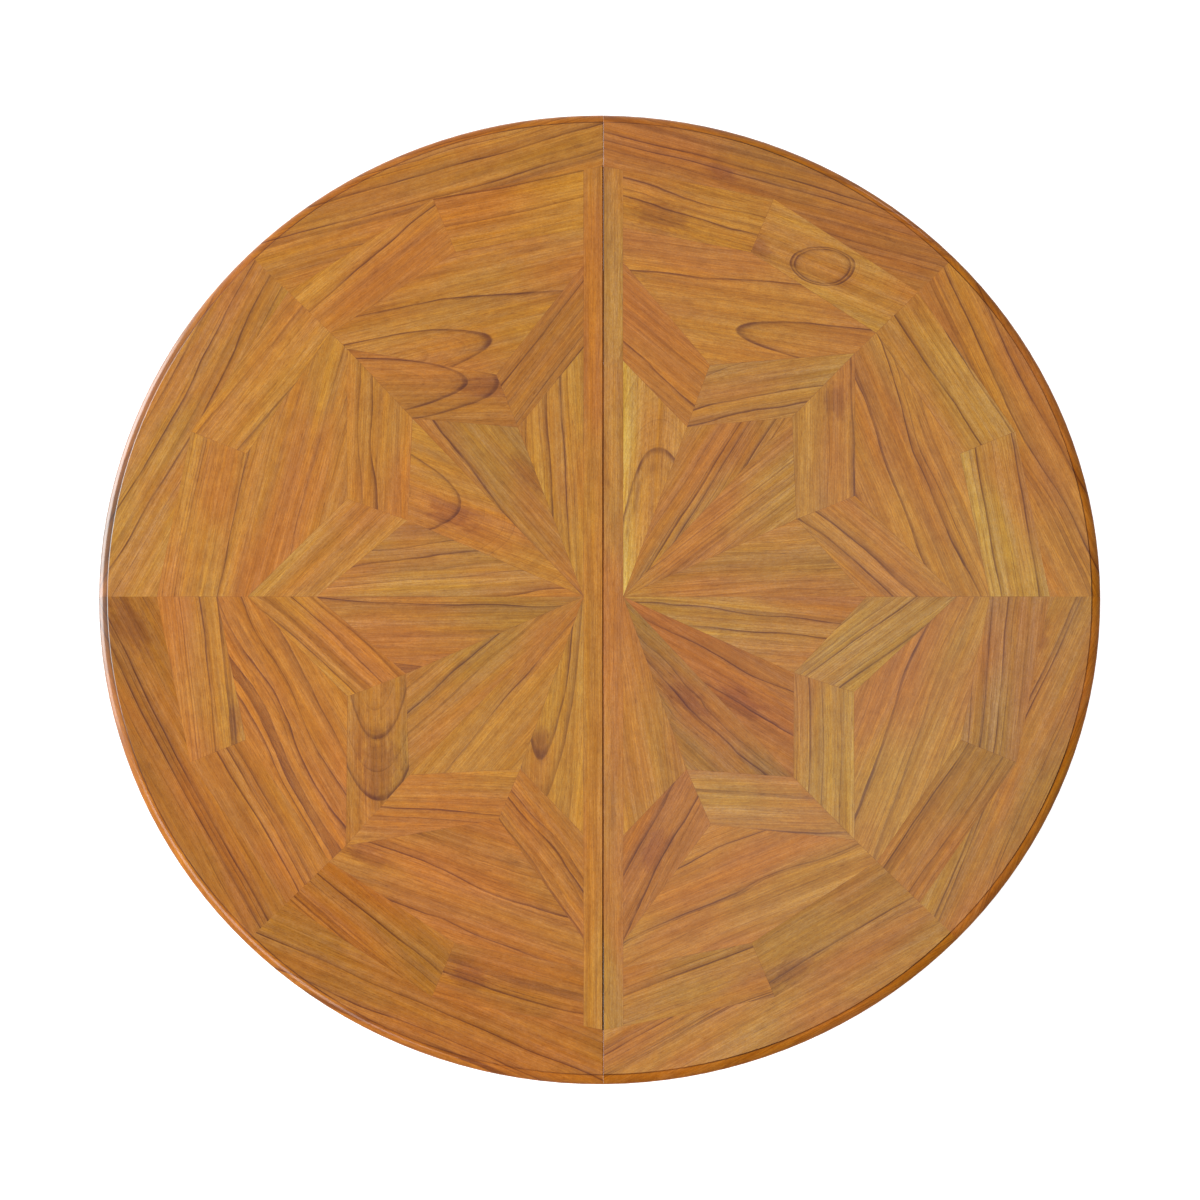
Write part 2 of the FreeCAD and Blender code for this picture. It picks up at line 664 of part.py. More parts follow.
# The pinions: a toothed ring that turns on a pin in the rail
for end_name, end in ENDS.items():
    label = "pinion_" + end_name
    body = document.addObject("PartDesign::Body", label)
    root = f"({PITCH_RADIUS} - {RACK_TIP_SHARE[0]} * tooth_module - tooth_clearance)"
    pad(body, rings(body, label + "_ring", "XY_Plane", [root, "pinion_pin_radius + running_clearance"]),
        "pinion_thickness")
    left_flank = [(f"-{width} * tooth_module", f"{PITCH_RADIUS} + {height} * tooth_module")
                  for height, width in TOOTH_SHARES]
    right_flank = [(f"{width} * tooth_module", f"{PITCH_RADIUS} + {height} * tooth_module")
                   for height, width in reversed(TOOTH_SHARES)]
    tooth = outline(body, label + "_tooth", "XY_Plane", left_flank + right_flank)
    tooth_pad = pad(body, tooth, "pinion_thickness")
    document.recompute()
    crown = body.newObject("PartDesign::PolarPattern", label + "_teeth")
    crown.Originals = [tooth_pad]
    crown.Axis = (tooth, ["N_Axis"])
    crown.Angle = 360
    bind(crown, Occurrences="pinion_teeth")
    body.Tip = crown
    bind(body, y=f"{end} * {RAIL_OFFSET}", z=f"{RACK_BOTTOM} - (pinion_thickness - rack_height) / 2")
    node(label, body)

# The fixed rails: grooved on both sides for the racks, with a pocket for the pinion
POCKET_FLOOR = f"({RACK_BOTTOM} - (pinion_thickness - rack_height) / 2 - slide_clearance)"
PIN_BOTTOM = f"({POCKET_FLOOR} - pinion_pin_length / 2)"
rail_places = [(f"{u} * {BEARER_OFFSET}", f"{end} * {RAIL_OFFSET}") for end in ENDS.values() for u in (-1, 1)]
rail_screws, rail_holes = screws("rail_screws", "large", "base_screw_length", rail_places, PLATE_TOP)
pins = []
for end_name, end in ENDS.items():
    label = "fixed_rail_" + end_name
    web = f"({PITCH_RADIUS} - {RACK_TIP_SHARE[0]} * tooth_module - tooth_clearance)"
    low = f"(rail_height + slide_clearance - rack_depth - rack_height - slide_clearance)"
    high = f"({low} + rack_height + 2 * slide_clearance)"
    half_section = [("rail_width / 2", "0"), ("rail_width / 2", low), (web, low), (web, high),
                    ("rail_width / 2", high), ("rail_width / 2", "rail_height")]
    corners = half_section + [(f"-({u})", v) for u, v in reversed(half_section)]
    body = padded_body(label + "_blank", "YZ_Plane", corners, f"2 * {RAIL_REACH}", x=f"-{RAIL_REACH}",
                       y=f"{end} * {RAIL_OFFSET}", z=RAIL_BOTTOM)
    pocket = rod(label + "_pocket", f"{PITCH_RADIUS} + tooth_module + tooth_clearance", "rail_height", "0",
                 f"{end} * {RAIL_OFFSET}", POCKET_FLOOR)
    pin_hole = rod(label + "_pin_hole", "pinion_pin_radius + screw_clearance", "pinion_pin_length", "0",
                   f"{end} * {RAIL_OFFSET}", PIN_BOTTOM)
    opened = cut(label + "_opened", body, fused(label + "_bores", [pocket, pin_hole]))
    node(label, cut(label + "_drilled", opened, rail_holes))
    pins.append(rod(f"pinion_pin_{end_name}", "pinion_pin_radius", "pinion_pin_length", "0",
                    f"{end} * {RAIL_OFFSET}", PIN_BOTTOM))
node("pinion_pins", group("pinion_pin_pair", pins))

# The latches: a plate with a headed stud under each half. A lever turns on the left one and swings
# its curved slot round the right one
plates = {"left": [], "right": []}
studs = {"left": [], "right": []}
for end_name, end in ENDS.items():
    for half, side in SIDES.items():
        x = f"seam_shift + {side} * {PLATE_MIDDLE}"
        y = f"{end} * {LATCH_OFFSET}"
        name = f"{half}_plate_{end_name}"
        sheet_metal = block(name, (f"{x} - plate_length / 2", f"{x} + plate_length / 2"),
                            (f"{y} - plate_width / 2", f"{y} + plate_width / 2"),
                            (f"{UNDERSIDE} - plate_thickness", UNDERSIDE))
        plates[half].append(sheet_metal)
        shaft = rod(name + "_shaft", "stud_radius", "latch_thickness + 2 * slide_clearance", x, y,
                    STUD_HEAD_TOP)
        head = rod(name + "_head", "stud_head_radius", "stud_head_thickness", x, y,
                   f"{STUD_HEAD_TOP} - stud_head_thickness")
        studs[half].append(fused(name + "_stud", [shaft, head]))
for half, label in (("left", "latch"), ("right", "keeper")):
    pair = group(label + "_plate_pair", plates[half])
    drilled = cut(label + "_plates_drilled", pair, plate_holes[half])
    node(label + "_plates", fused(label + "_plates_studded", [drilled] + studs[half]))
for end_name, end in ENDS.items():
    label = "latch_lever_" + end_name
    arm = block(label + "_arm", ("-latch_handle", "latch_arm"), ("-latch_width / 2", "latch_width / 2"),
                ("0", "latch_thickness"))
    nose = rod(label + "_nose", "latch_width / 2", "latch_thickness", "latch_arm", "0", "0")
    grip = rod(label + "_grip", "latch_width / 2", "latch_thickness", "-latch_handle", "0", "0")
    bore = rod(label + "_bore", "stud_radius + running_clearance", "latch_thickness", "0", "0", "0")
    seat = rod(label + "_seat", "stud_radius + stud_clearance", "latch_thickness", "latch_arm", "0", "0")
    swing = document.addObject("Part::Cylinder", label + "_swing")
    start = -45 if end > 0 else 0
    swing.Placement = FreeCAD.Placement(FreeCAD.Vector(), FreeCAD.Rotation(start, 0, 0))
    bind(swing, Radius="latch_arm + stud_radius + stud_clearance", Height="latch_thickness")
    swing.Angle = 45
    kept = rod(label + "_kept", "latch_arm - stud_radius - stud_clearance", "latch_thickness", "0", "0", "0")
    slot = cut(label + "_slot", swing, kept)
    openings = fused(label + "_holes", [bore, seat, slot])
    blade = cut(label + "_blade", fused(label + "_body", [arm, nose, grip]), openings)
    blade.Placement = FreeCAD.Placement(FreeCAD.Vector(), FreeCAD.Rotation(90 * end, 0, 0))
    bind(blade, x=f"seam_shift - {PLATE_MIDDLE}", y=f"{end} * {LATCH_OFFSET}", z=LATCH_BOTTOM)
    node(label, blade)

# The base: two cross bearers with tapered ends on a top plate
bearer_places = [(f"{u} * {BEARER_OFFSET}", f"{v} * (top_plate_width / 2 - plate_screw_margin)")
                 for u in (-1, 1) for v in (-1, 1)]
bearer_screws, bearer_holes = screws("bearer_screws", "large", "base_screw_length", bearer_places, COLUMN_TOP)
node("base_screws", group("base_screw_set", [rail_screws, bearer_screws]))
for half, side in SIDES.items():
    label = half + "_cross_bearer"
    half_bearer = [(f"{BEARER_REACH} - bearer_taper", "0"),
                   (BEARER_REACH, "bearer_height - bearer_tip_height"), (BEARER_REACH, "bearer_height")]
    corners = half_bearer + [(f"-({u})", v) for u, v in reversed(half_bearer)]
    body = padded_body(label + "_blank", "YZ_Plane", corners, "bearer_width",
                       x=f"{side} * {BEARER_OFFSET} - bearer_width / 2", z=PLATE_TOP)
    drilled = cut(label + "_screwed_up", body, bearer_holes)
    node(label, cut(label + "_drilled", drilled, rail_holes))
CORNER_ORDERS = ((1, 1, (0, 1)), (-1, 1, (1, 0)), (-1, -1, (0, 1)), (1, -1, (1, 0)))
corners = [(f"{u} * (top_plate_length / 2 - {i} * top_plate_chamfer)",
            f"{v} * (top_plate_width / 2 - {1 - i} * top_plate_chamfer)")
           for u, v, order in CORNER_ORDERS for i in order]
plate = padded_body("top_plate_blank", "XY_Plane", corners, "top_plate_height", z=COLUMN_TOP)
rod_hole = rod("top_plate_rod_hole", "tie_rod_radius + tie_rod_clearance", "top_plate_height", "0", "0",
               COLUMN_TOP)
node("top_plate", cut("top_plate_drilled", plate, group("top_plate_holes", [bearer_holes, rod_hole])))


# A turned solid: straight runs, rounded beads and smooth curves about the vertical axis
def turned(profile):
    edges = []
    for kind, places in profile:
        spots = [FreeCAD.Vector(radius, 0, height) for radius, height in places]
        if kind == "arc":
            edges.append(Part.Arc(*spots).toShape())
        elif kind == "curve":
            curve = Part.BSplineCurve()
            curve.interpolate(spots)
            edges.append(curve.toShape())
        else:
            edges += [Part.LineSegment(a, b).toShape() for a, b in zip(spots, spots[1:])]
    face = Part.Face(Part.Wire(edges))
    return face.revolve(FreeCAD.Vector(), FreeCAD.Vector(0, 0, 1), 360)


# The column: drum for the legs, ring, vase, ring, neck and capital, bored for the tie rod
def column_shape():
    bore = worth("tie_rod_radius + tie_rod_clearance")
    foot = worth("column_foot")
    top = worth(COLUMN_TOP)
    drum = worth("drum_radius")
    drum_top = foot + worth("drum_height")
    bead = worth("column_ring")
    capital = worth("capital_radius")
    capital_foot = top - worth("capital_height")
    span = capital_foot - drum_top - 2 * bead
    base = drum_top + 2 * bead
    vase = [(share * worth("vase_radius"), base + height * span) for height, share in VASE_SHARES]
    neck = [(share * worth("neck_radius"), base + height * span) for height, share in NECK_SHARES]
    ring_low = vase[-1][1]
    ring_high = neck[0][1]
    ring_out = vase[-1][0] + bead
    cove_start = drum
    return turned([
        ("line", [(bore, foot), (drum - bead / 2, foot), (drum, foot + bead / 2), (drum, drum_top)]),
        ("arc", [(drum, drum_top), (drum + bead, drum_top + bead), (drum, base)]),
        ("line", [(cove_start, base), (drum - bead / 2, base)]),
        ("arc", [(drum - bead / 2, base), (vase[0][0] + bead / 4, (base + vase[0][1]) / 2), vase[0]]),
        ("curve", vase),
        ("line", [vase[-1], (ring_out - bead / 2, ring_low)]),
        ("arc", [(ring_out - bead / 2, ring_low), (ring_out + bead / 2, (ring_low + ring_high) / 2),
                 (ring_out - bead / 2, ring_high)]),
        ("line", [(ring_out - bead / 2, ring_high), neck[0]]),
        ("curve", neck),
        ("line", [neck[-1], (neck[-1][0] + bead / 2, neck[-1][1]), (neck[-1][0] + bead / 2, capital_foot),
                  (capital - bead, capital_foot)]),
        ("arc", [(capital - bead, capital_foot), (capital, capital_foot + bead),
                 (capital - bead / 2, top - bead)]),
        ("line", [(capital - bead / 2, top - bead), (capital - bead / 2, top), (bore, top), (bore, foot)]),
    ])


# The pendant under the column, hollowed above for the rod's lower nut
def pendant_shape():
    radius = worth("pendant_radius")
    top = worth("column_foot")
    bottom = top - worth("pendant_height")
    hollow = worth("flange_radius + tie_rod_clearance")
    depth = worth("flange_thickness + nut_height + nut_room")
    curve = [(out * radius, bottom + up * (top - bottom)) for out, up in PENDANT_SHARES]
    return turned([
        ("line", [(0, bottom), curve[0]]),
        ("curve", curve),
        ("line", [curve[-1], (radius, top), (hollow, top), (hollow, top - depth), (0, top - depth),
                  (0, bottom)]),
    ])


# The tie rod clamps plate and column between a flanged nut at each end
rod_bottom = "(column_foot - flange_thickness - nut_height)"
rod_length = f"({PLATE_TOP} + flange_thickness + nut_height - {rod_bottom})"
node("tie_rod", rod("tie_rod_bar", "tie_rod_radius", rod_length, "0", "0", rod_bottom))
nuts = []
for name, flange_z, nut_z in (("low", "column_foot - flange_thickness", rod_bottom),
                              ("high", PLATE_TOP, f"{PLATE_TOP} + flange_thickness")):
    disc = rod(f"flange_{name}_disc", "flange_radius", "flange_thickness", "0", "0", flange_z)
    prism = document.addObject("Part::Prism", f"nut_{name}_prism")
    prism.Polygon = 6
    bind(prism, Circumradius="nut_width / 2 / cos(30)", Height="nut_height", z=nut_z)
    thread = rod(f"nut_{name}_hole", "tie_rod_radius + running_clearance", rod_length, "0", "0", rod_bottom)
    nuts.append(cut(f"nut_{name}", fused(f"nut_{name}_blank", [disc, prism]), thread))
node("tie_rod_nuts", group("nut_pair", nuts))


# A sabre leg: its outline is a smooth back and belly with a flat foot, and its edges are rounded
def leg_blank():
    root = worth("drum_radius - leg_embed")
    reach = worth(LEG_REACH) - root
    top = worth("leg_top")
    floor = worth("glide_height")
    thickness = worth("leg_thickness")
    curves = []
    for side_shares in (LEG_BACK_SHARES, LEG_BELLY_SHARES):
        curve = Part.BSplineCurve()
        curve.interpolate([FreeCAD.Vector(root + out * reach, -thickness / 2, floor + up * (top - floor))
                           for out, up in side_shares])
        curves.append(curve)
    back, belly = curves
    edges = [
        back.toShape(),
        Part.LineSegment(back.EndPoint, belly.StartPoint).toShape(),
        belly.toShape(),
        Part.LineSegment(belly.EndPoint, back.StartPoint).toShape(),
    ]
    solid = Part.Face(Part.Wire(edges)).extrude(FreeCAD.Vector(0, thickness, 0))
    rounded = [edge for edge in solid.Edges
               if abs(abs(edge.CenterOfMass.y) - thickness / 2) < thickness / 100
               and edge.BoundBox.XLength > reach / 2]
    return solid.makeFillet(worth("leg_round"), rounded)


# Dowels lie along a leg, half in the leg and half in the drum
LEG_DOWEL_SHARES = (0.68, 0.9)
LEG_DEGREES = {"leg_back_right": 45, "leg_back_left": 135, "leg_front_left": 225, "leg_front_right": 315}


def leg_dowels(name, grow, degrees):
    turn = FreeCAD.Rotation(FreeCAD.Vector(0, 0, 1), degrees).multiply(TO_RIGHT)
    start = "(drum_radius - leg_dowel_length / 2)"
    return [rod(f"{name}_{k}", f"leg_dowel_radius + {grow}", "leg_dowel_length", f"{start} * cos({degrees})",
                f"{start} * sin({degrees})", f"leg_top * {share}", turn)
            for k, share in enumerate(LEG_DOWEL_SHARES)]


dowel_solids = []
dowel_holes = []
for label, degrees in LEG_DEGREES.items():
    dowel_solids += leg_dowels(label + "_dowel", "0", degrees)
    dowel_holes += leg_dowels(label + "_dowel_hole", "screw_clearance", degrees)
node("leg_dowels", group("leg_dowel_set", dowel_solids))
dowel_hole_set = group("leg_dowel_holes", dowel_holes)
column_blank = document.addObject("Part::Feature", "column_blank")
column_blank.Shape = column_shape()
node("column", cut("column_drilled", column_blank, dowel_hole_set))
shaped("column_pendant", pendant_shape())
leg_pattern = leg_blank()
drum_limits = rod("drum_limits", "drum_radius", "leg_top", "0", "0", "column_foot")
glide_solids = []
glide_holes = []
for label, degrees in LEG_DEGREES.items():
    x = f"({LEG_REACH} - glide_inset) * cos({degrees})"
    y = f"({LEG_REACH} - glide_inset) * sin({degrees})"
    disc = rod(label + "_glide_disc", "glide_radius", "glide_height", x, y, "0")
    stem = rod(label + "_glide_stem", "glide_stem_radius", "glide_height + glide_stem_length", x, y, "0")
    glide_solids.append(fused(label + "_glide", [disc, stem]))
    stem_hole = rod(label + "_stem_hole", "glide_stem_radius + screw_clearance",
                    "glide_height + glide_stem_length", x, y, "0")
    blank_leg = document.addObject("Part::Feature", label + "_blank")
    blank_leg.Shape = leg_pattern
    blank_leg.Placement = FreeCAD.Placement(FreeCAD.Vector(), FreeCAD.Rotation(degrees, 0, 0))
    seated = cut(label + "_seated", blank_leg, drum_limits)
    drilled = cut(label + "_drilled", seated, dowel_hole_set)
    node(label, cut(label + "_finished", drilled, stem_hole))
node("floor_glides", group("glide_set", glide_solids))

# The folded leaf: two halves with their undersides together, hinged at the back
FELT_TOP = f"({RAIL_BOTTOM} + felt_thickness)"
LOWER_BOTTOM = FELT_TOP
FOLD_MIDDLE = f"({LOWER_BOTTOM} + top_thickness + leaf_fold_gap / 2)"
UPPER_TOP = f"({FOLD_MIDDLE} + leaf_fold_gap / 2 + top_thickness)"
LEAF_SPAN = ("seam_shift - opening / 2 + leaf_side_clearance",
             "seam_shift + opening / 2 - leaf_side_clearance")
LEAF_FRONT = f"({LEAF_BACK} - table_width / 2)"
CORE_FRONT = f"({LEAF_FRONT} + ring_width)"
pads = [block(f"felt_pad_{half}_{k}",
              (f"{side} * {BEARER_OFFSET} - bearer_width / 2",
               f"{side} * {BEARER_OFFSET} + bearer_width / 2"),
              mirrored(k, f"{LEAF_BACK} - felt_length", LEAF_BACK), (RAIL_BOTTOM, FELT_TOP))
        for half, side in SIDES.items() for k in (-1, 1)]
node("felt_pads", group("felt_pad_set", pads))

# Hinges: a plate let into each half's underside, knuckles in turn round a pin beyond the back edge
hinge_holes = {"upper": [], "lower": []}
hinge_plates = []
hinge_pins = []
HINGE_Y = f"({LEAF_BACK} + hinge_clearance)"
for k in (-1, 1):
    middle = f"(seam_shift + {k} * hinge_offset)"
    span = (f"{middle} - hinge_length / 2", f"{middle} + hinge_length / 2")
    for name, up in (("upper", 1), ("lower", -1)):
        flat = mirrored(up, "leaf_fold_gap / 2", "leaf_fold_gap / 2 + hinge_plate", FOLD_MIDDLE)
        plate = block(f"hinge_{name}_{k}_flat", span, (f"{LEAF_BACK} - hinge_width", HINGE_Y), flat)
        knuckles = []
        for number, (start, stop) in enumerate(KNUCKLE_SHARES[name]):
            knuckles.append(rod(f"hinge_{name}_{k}_knuckle_{number}", "hinge_barrel_radius",
                                f"{stop - start:.2f} * hinge_length", f"{middle} + {start} * hinge_length",
                                HINGE_Y, FOLD_MIDDLE, TO_RIGHT))
        bore = rod(f"hinge_{name}_{k}_bore", "hinge_pin_radius + running_clearance", "2 * hinge_length",
                   f"{middle} - hinge_length", HINGE_Y, FOLD_MIDDLE, TO_RIGHT)
        gaps = [block(f"hinge_{name}_{k}_gap_{number}",
                      (f"{middle} + {start} * hinge_length", f"{middle} + {stop} * hinge_length"),
                      (f"{LEAF_BACK} - hinge_barrel_radius - hinge_clearance",
                       f"{LEAF_BACK} + 2 * hinge_barrel_radius"),
                      (f"{FOLD_MIDDLE} - 2 * hinge_plate", f"{FOLD_MIDDLE} + 2 * hinge_plate"))
                for number, (start, stop) in enumerate(NOTCH_SHARES[name])]
        kept = cut(f"hinge_{name}_{k}_notched", plate, group(f"hinge_{name}_{k}_gaps", gaps))
        whole = fused(f"hinge_{name}_{k}_whole", [kept] + knuckles)
        hinge_plates.append(cut(f"hinge_{name}_{k}", whole, bore))
        recess = block(f"hinge_{name}_{k}_recess", span,
                       (f"{LEAF_BACK} - hinge_width", f"{LEAF_BACK} + hinge_width"),
                       mirrored(up, "leaf_fold_gap / 2", "leaf_fold_gap / 2 + hinge_plate", FOLD_MIDDLE))
        hinge_holes[name].append(recess)
        relief = rod(f"hinge_{name}_{k}_relief", "hinge_barrel_radius + hinge_clearance",
                     "hinge_length + 2 * hinge_clearance", f"{middle} - hinge_length / 2 - hinge_clearance",
                     HINGE_Y, FOLD_MIDDLE, TO_RIGHT)
        hinge_holes[name].append(relief)
    hinge_pins.append(rod(f"hinge_pin_{k}", "hinge_pin_radius", "hinge_length", f"{middle} - hinge_length / 2",
                          HINGE_Y, FOLD_MIDDLE, TO_RIGHT))
node("leaf_hinges", group("leaf_hinge_set", hinge_plates))
node("leaf_hinge_pins", group("leaf_hinge_pin_set", hinge_pins))


# The moulded end of a leaf half, with its good face up or down
def leaf_end(level, face_up):
    radius = worth("table_width / 2")
    inner = worth(RING_RADIUS)
    top = worth("top_thickness")
    section = rim_section(radius, top)
    corner = section[0].Vertexes[0].Point
    foot = section[-1].Vertexes[-1].Point
    closing = [
        Part.LineSegment(FreeCAD.Vector(inner, 0, top), corner).toShape(),
        Part.LineSegment(foot, FreeCAD.Vector(inner, 0, 0)).toShape(),
        Part.LineSegment(FreeCAD.Vector(inner, 0, 0), FreeCAD.Vector(inner, 0, top)).toShape(),
    ]
    face = Part.Face(Part.Wire(Part.__sortEdges__(section + closing)))
    low, high = worth(LEAF_SPAN[0]), worth(LEAF_SPAN[1])
    bar = face.extrude(FreeCAD.Vector(0, high - low, 0))
    bar.rotate(FreeCAD.Vector(), FreeCAD.Vector(0, 0, 1), -90)
    if not face_up:
        bar = bar.mirror(FreeCAD.Vector(0, 0, top / 2), FreeCAD.Vector(0, 0, 1))
    bar.translate(FreeCAD.Vector(low, worth(LEAF_BACK), level))
    return bar


shaped("leaf_end_mouldings", Part.makeCompound(
    [leaf_end(worth(LOWER_BOTTOM), False), leaf_end(worth(f"{FOLD_MIDDLE} + leaf_fold_gap / 2"), True)]))
LEAF_LEVELS = {
    "lower": ((f"{LOWER_BOTTOM} + face_thickness", f"{FOLD_MIDDLE} - leaf_fold_gap / 2"),
              (LOWER_BOTTOM, f"{LOWER_BOTTOM} + face_thickness")),
    "upper": ((f"{FOLD_MIDDLE} + leaf_fold_gap / 2", f"{UPPER_TOP} - face_thickness"),
              (f"{UPPER_TOP} - face_thickness", UPPER_TOP)),
}
for name, (core_levels, face_levels) in LEAF_LEVELS.items():
    panel = block(f"leaf_{name}_blank", LEAF_SPAN, (CORE_FRONT, LEAF_BACK), core_levels)
    recesses = fused(f"leaf_{name}_recesses", hinge_holes[name])
    node(f"leaf_{name}_panel", cut(f"leaf_{name}_recessed", panel, recesses))
    count = int(worth("leaf_board_count"))
    width = f"((opening - 2 * leaf_side_clearance) / leaf_board_count)"
    boards = [block(f"leaf_{name}_board_{k}",
                    (f"{LEAF_SPAN[0]} + {k} * {width}", f"{LEAF_SPAN[0]} + {k + 1} * {width}"),
                    (CORE_FRONT, LEAF_BACK), face_levels) for k in range(count)]
    node(f"leaf_{name}_boards", group(f"leaf_{name}_board_set", boards))

# Every object is worked out and checked before anything is written
document.recompute()
for thing in document.Objects:
    faults = [word for word in thing.State if word in ("Invalid", "Error")]
    if faults:
        raise RuntimeError(f"{thing.Label} failed: {thing.State}")
for label, thing in nodes.items():
    if thing.Shape.isNull() or not thing.Shape.isValid() or not thing.Shape.Solids:
        raise RuntimeError(f"{label} has no valid solid")
os.makedirs("parts", exist_ok=True)
for label, thing in nodes.items():
    thing.Shape.exportStep(f"parts/{label}.step")
    print(label, len(thing.Shape.Solids), round(thing.Shape.Volume))
print(len(nodes), "nodes")
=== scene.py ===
# Looks of the extending dining table: every wooden piece gets its own figure, laid one by one
import math

import bmesh
import bpy
from mathutils import Euler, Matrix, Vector


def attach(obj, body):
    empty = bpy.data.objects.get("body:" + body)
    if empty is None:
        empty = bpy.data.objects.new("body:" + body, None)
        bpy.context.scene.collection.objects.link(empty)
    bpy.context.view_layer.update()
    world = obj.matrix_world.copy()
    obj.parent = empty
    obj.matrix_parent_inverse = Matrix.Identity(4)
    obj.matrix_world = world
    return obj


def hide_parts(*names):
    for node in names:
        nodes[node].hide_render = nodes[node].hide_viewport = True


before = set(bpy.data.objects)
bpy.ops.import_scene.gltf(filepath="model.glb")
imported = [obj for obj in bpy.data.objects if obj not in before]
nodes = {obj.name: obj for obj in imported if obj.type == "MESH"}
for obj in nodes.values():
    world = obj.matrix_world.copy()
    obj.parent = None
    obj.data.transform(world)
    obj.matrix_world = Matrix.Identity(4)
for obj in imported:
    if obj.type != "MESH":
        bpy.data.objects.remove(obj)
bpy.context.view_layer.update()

# Places that the dressing shares with the solids, in metres
SEAM_X = 0.0045
TOP = 0.75
VENEER = 0.004
FIELD_RADIUS = 0.59
APRON_RADIUS = 0.515
APRON_MIDDLE = 0.69
SIDES = {"left": -1, "right": 1}

# Tones of the lacquered wood, as they look in plain light
TONES = {
    "cream": (0.595, 0.372, 0.066),
    "pale": (0.482, 0.267, 0.046),
    "straw": (0.472, 0.233, 0.036),
    "honey": (0.447, 0.213, 0.026),
    "apricot": (0.463, 0.199, 0.022),
    "syrup": (0.429, 0.194, 0.027),
    "tan": (0.429, 0.221, 0.037),
    "wheat": (0.413, 0.202, 0.036),
    "amber": (0.417, 0.180, 0.023),
    "orange": (0.422, 0.163, 0.020),
    "clay": (0.387, 0.184, 0.031),
    "dusk": (0.376, 0.205, 0.052),
    "brown": (0.359, 0.167, 0.026),
    "chestnut": (0.369, 0.146, 0.020),
    "russet": (0.369, 0.134, 0.022),
    "umber": (0.271, 0.145, 0.031),
    "walnut": (0.310, 0.126, 0.018),
}
# How a piece is sawn: how far the pith lies across and below, how fast it rises along the grain, the
# ring spacing, how dark the lines are, and how much they waver. Lengths are in metres
CUTS = {
    "plain": (0.22, 0.05, 0.0, 0.011, 0.42, 0.6),
    "lines": (0.24, 0.06, 0.02, 0.009, 0.75, 0.6),
    "bold": (0.30, 0.06, 0.02, 0.016, 1.0, 0.8),
    "dense": (0.20, 0.05, 0.02, 0.0052, 1.1, 0.5),
    "stripes": (0.25, 0.06, 0.0, 0.006, 1.5, 0.3),
    "arch": (0.12, 0.003, 0.15, 0.011, 0.75, 0.5),
    "loop": (0.12, 0.003, 0.22, 0.011, 0.3, 0.5),
    "bowl": (0.12, 0.003, 0.30, 0.014, 0.45, 0.5),
    "knot": (0.10, 0.002, 0.58, 0.010, 0.35, 1.0),
    "sweep": (0.15, 0.01, 0.10, 0.011, 0.75, 0.8),
    "squiggle": (0.2, 0.02, 0.05, 0.012, 0.9, 1.5),
    "rift": (0.24, 0.06, 0.0, 0.013, 1.0, 0.5),
    "quarter": (0.26, 0.05, 0.0, 0.0065, 1.0, 0.35),
}
# These cuts run straight, with the pith well to the side, also where their place is given
STRAIGHT = ("rift", "quarter", "stripes")
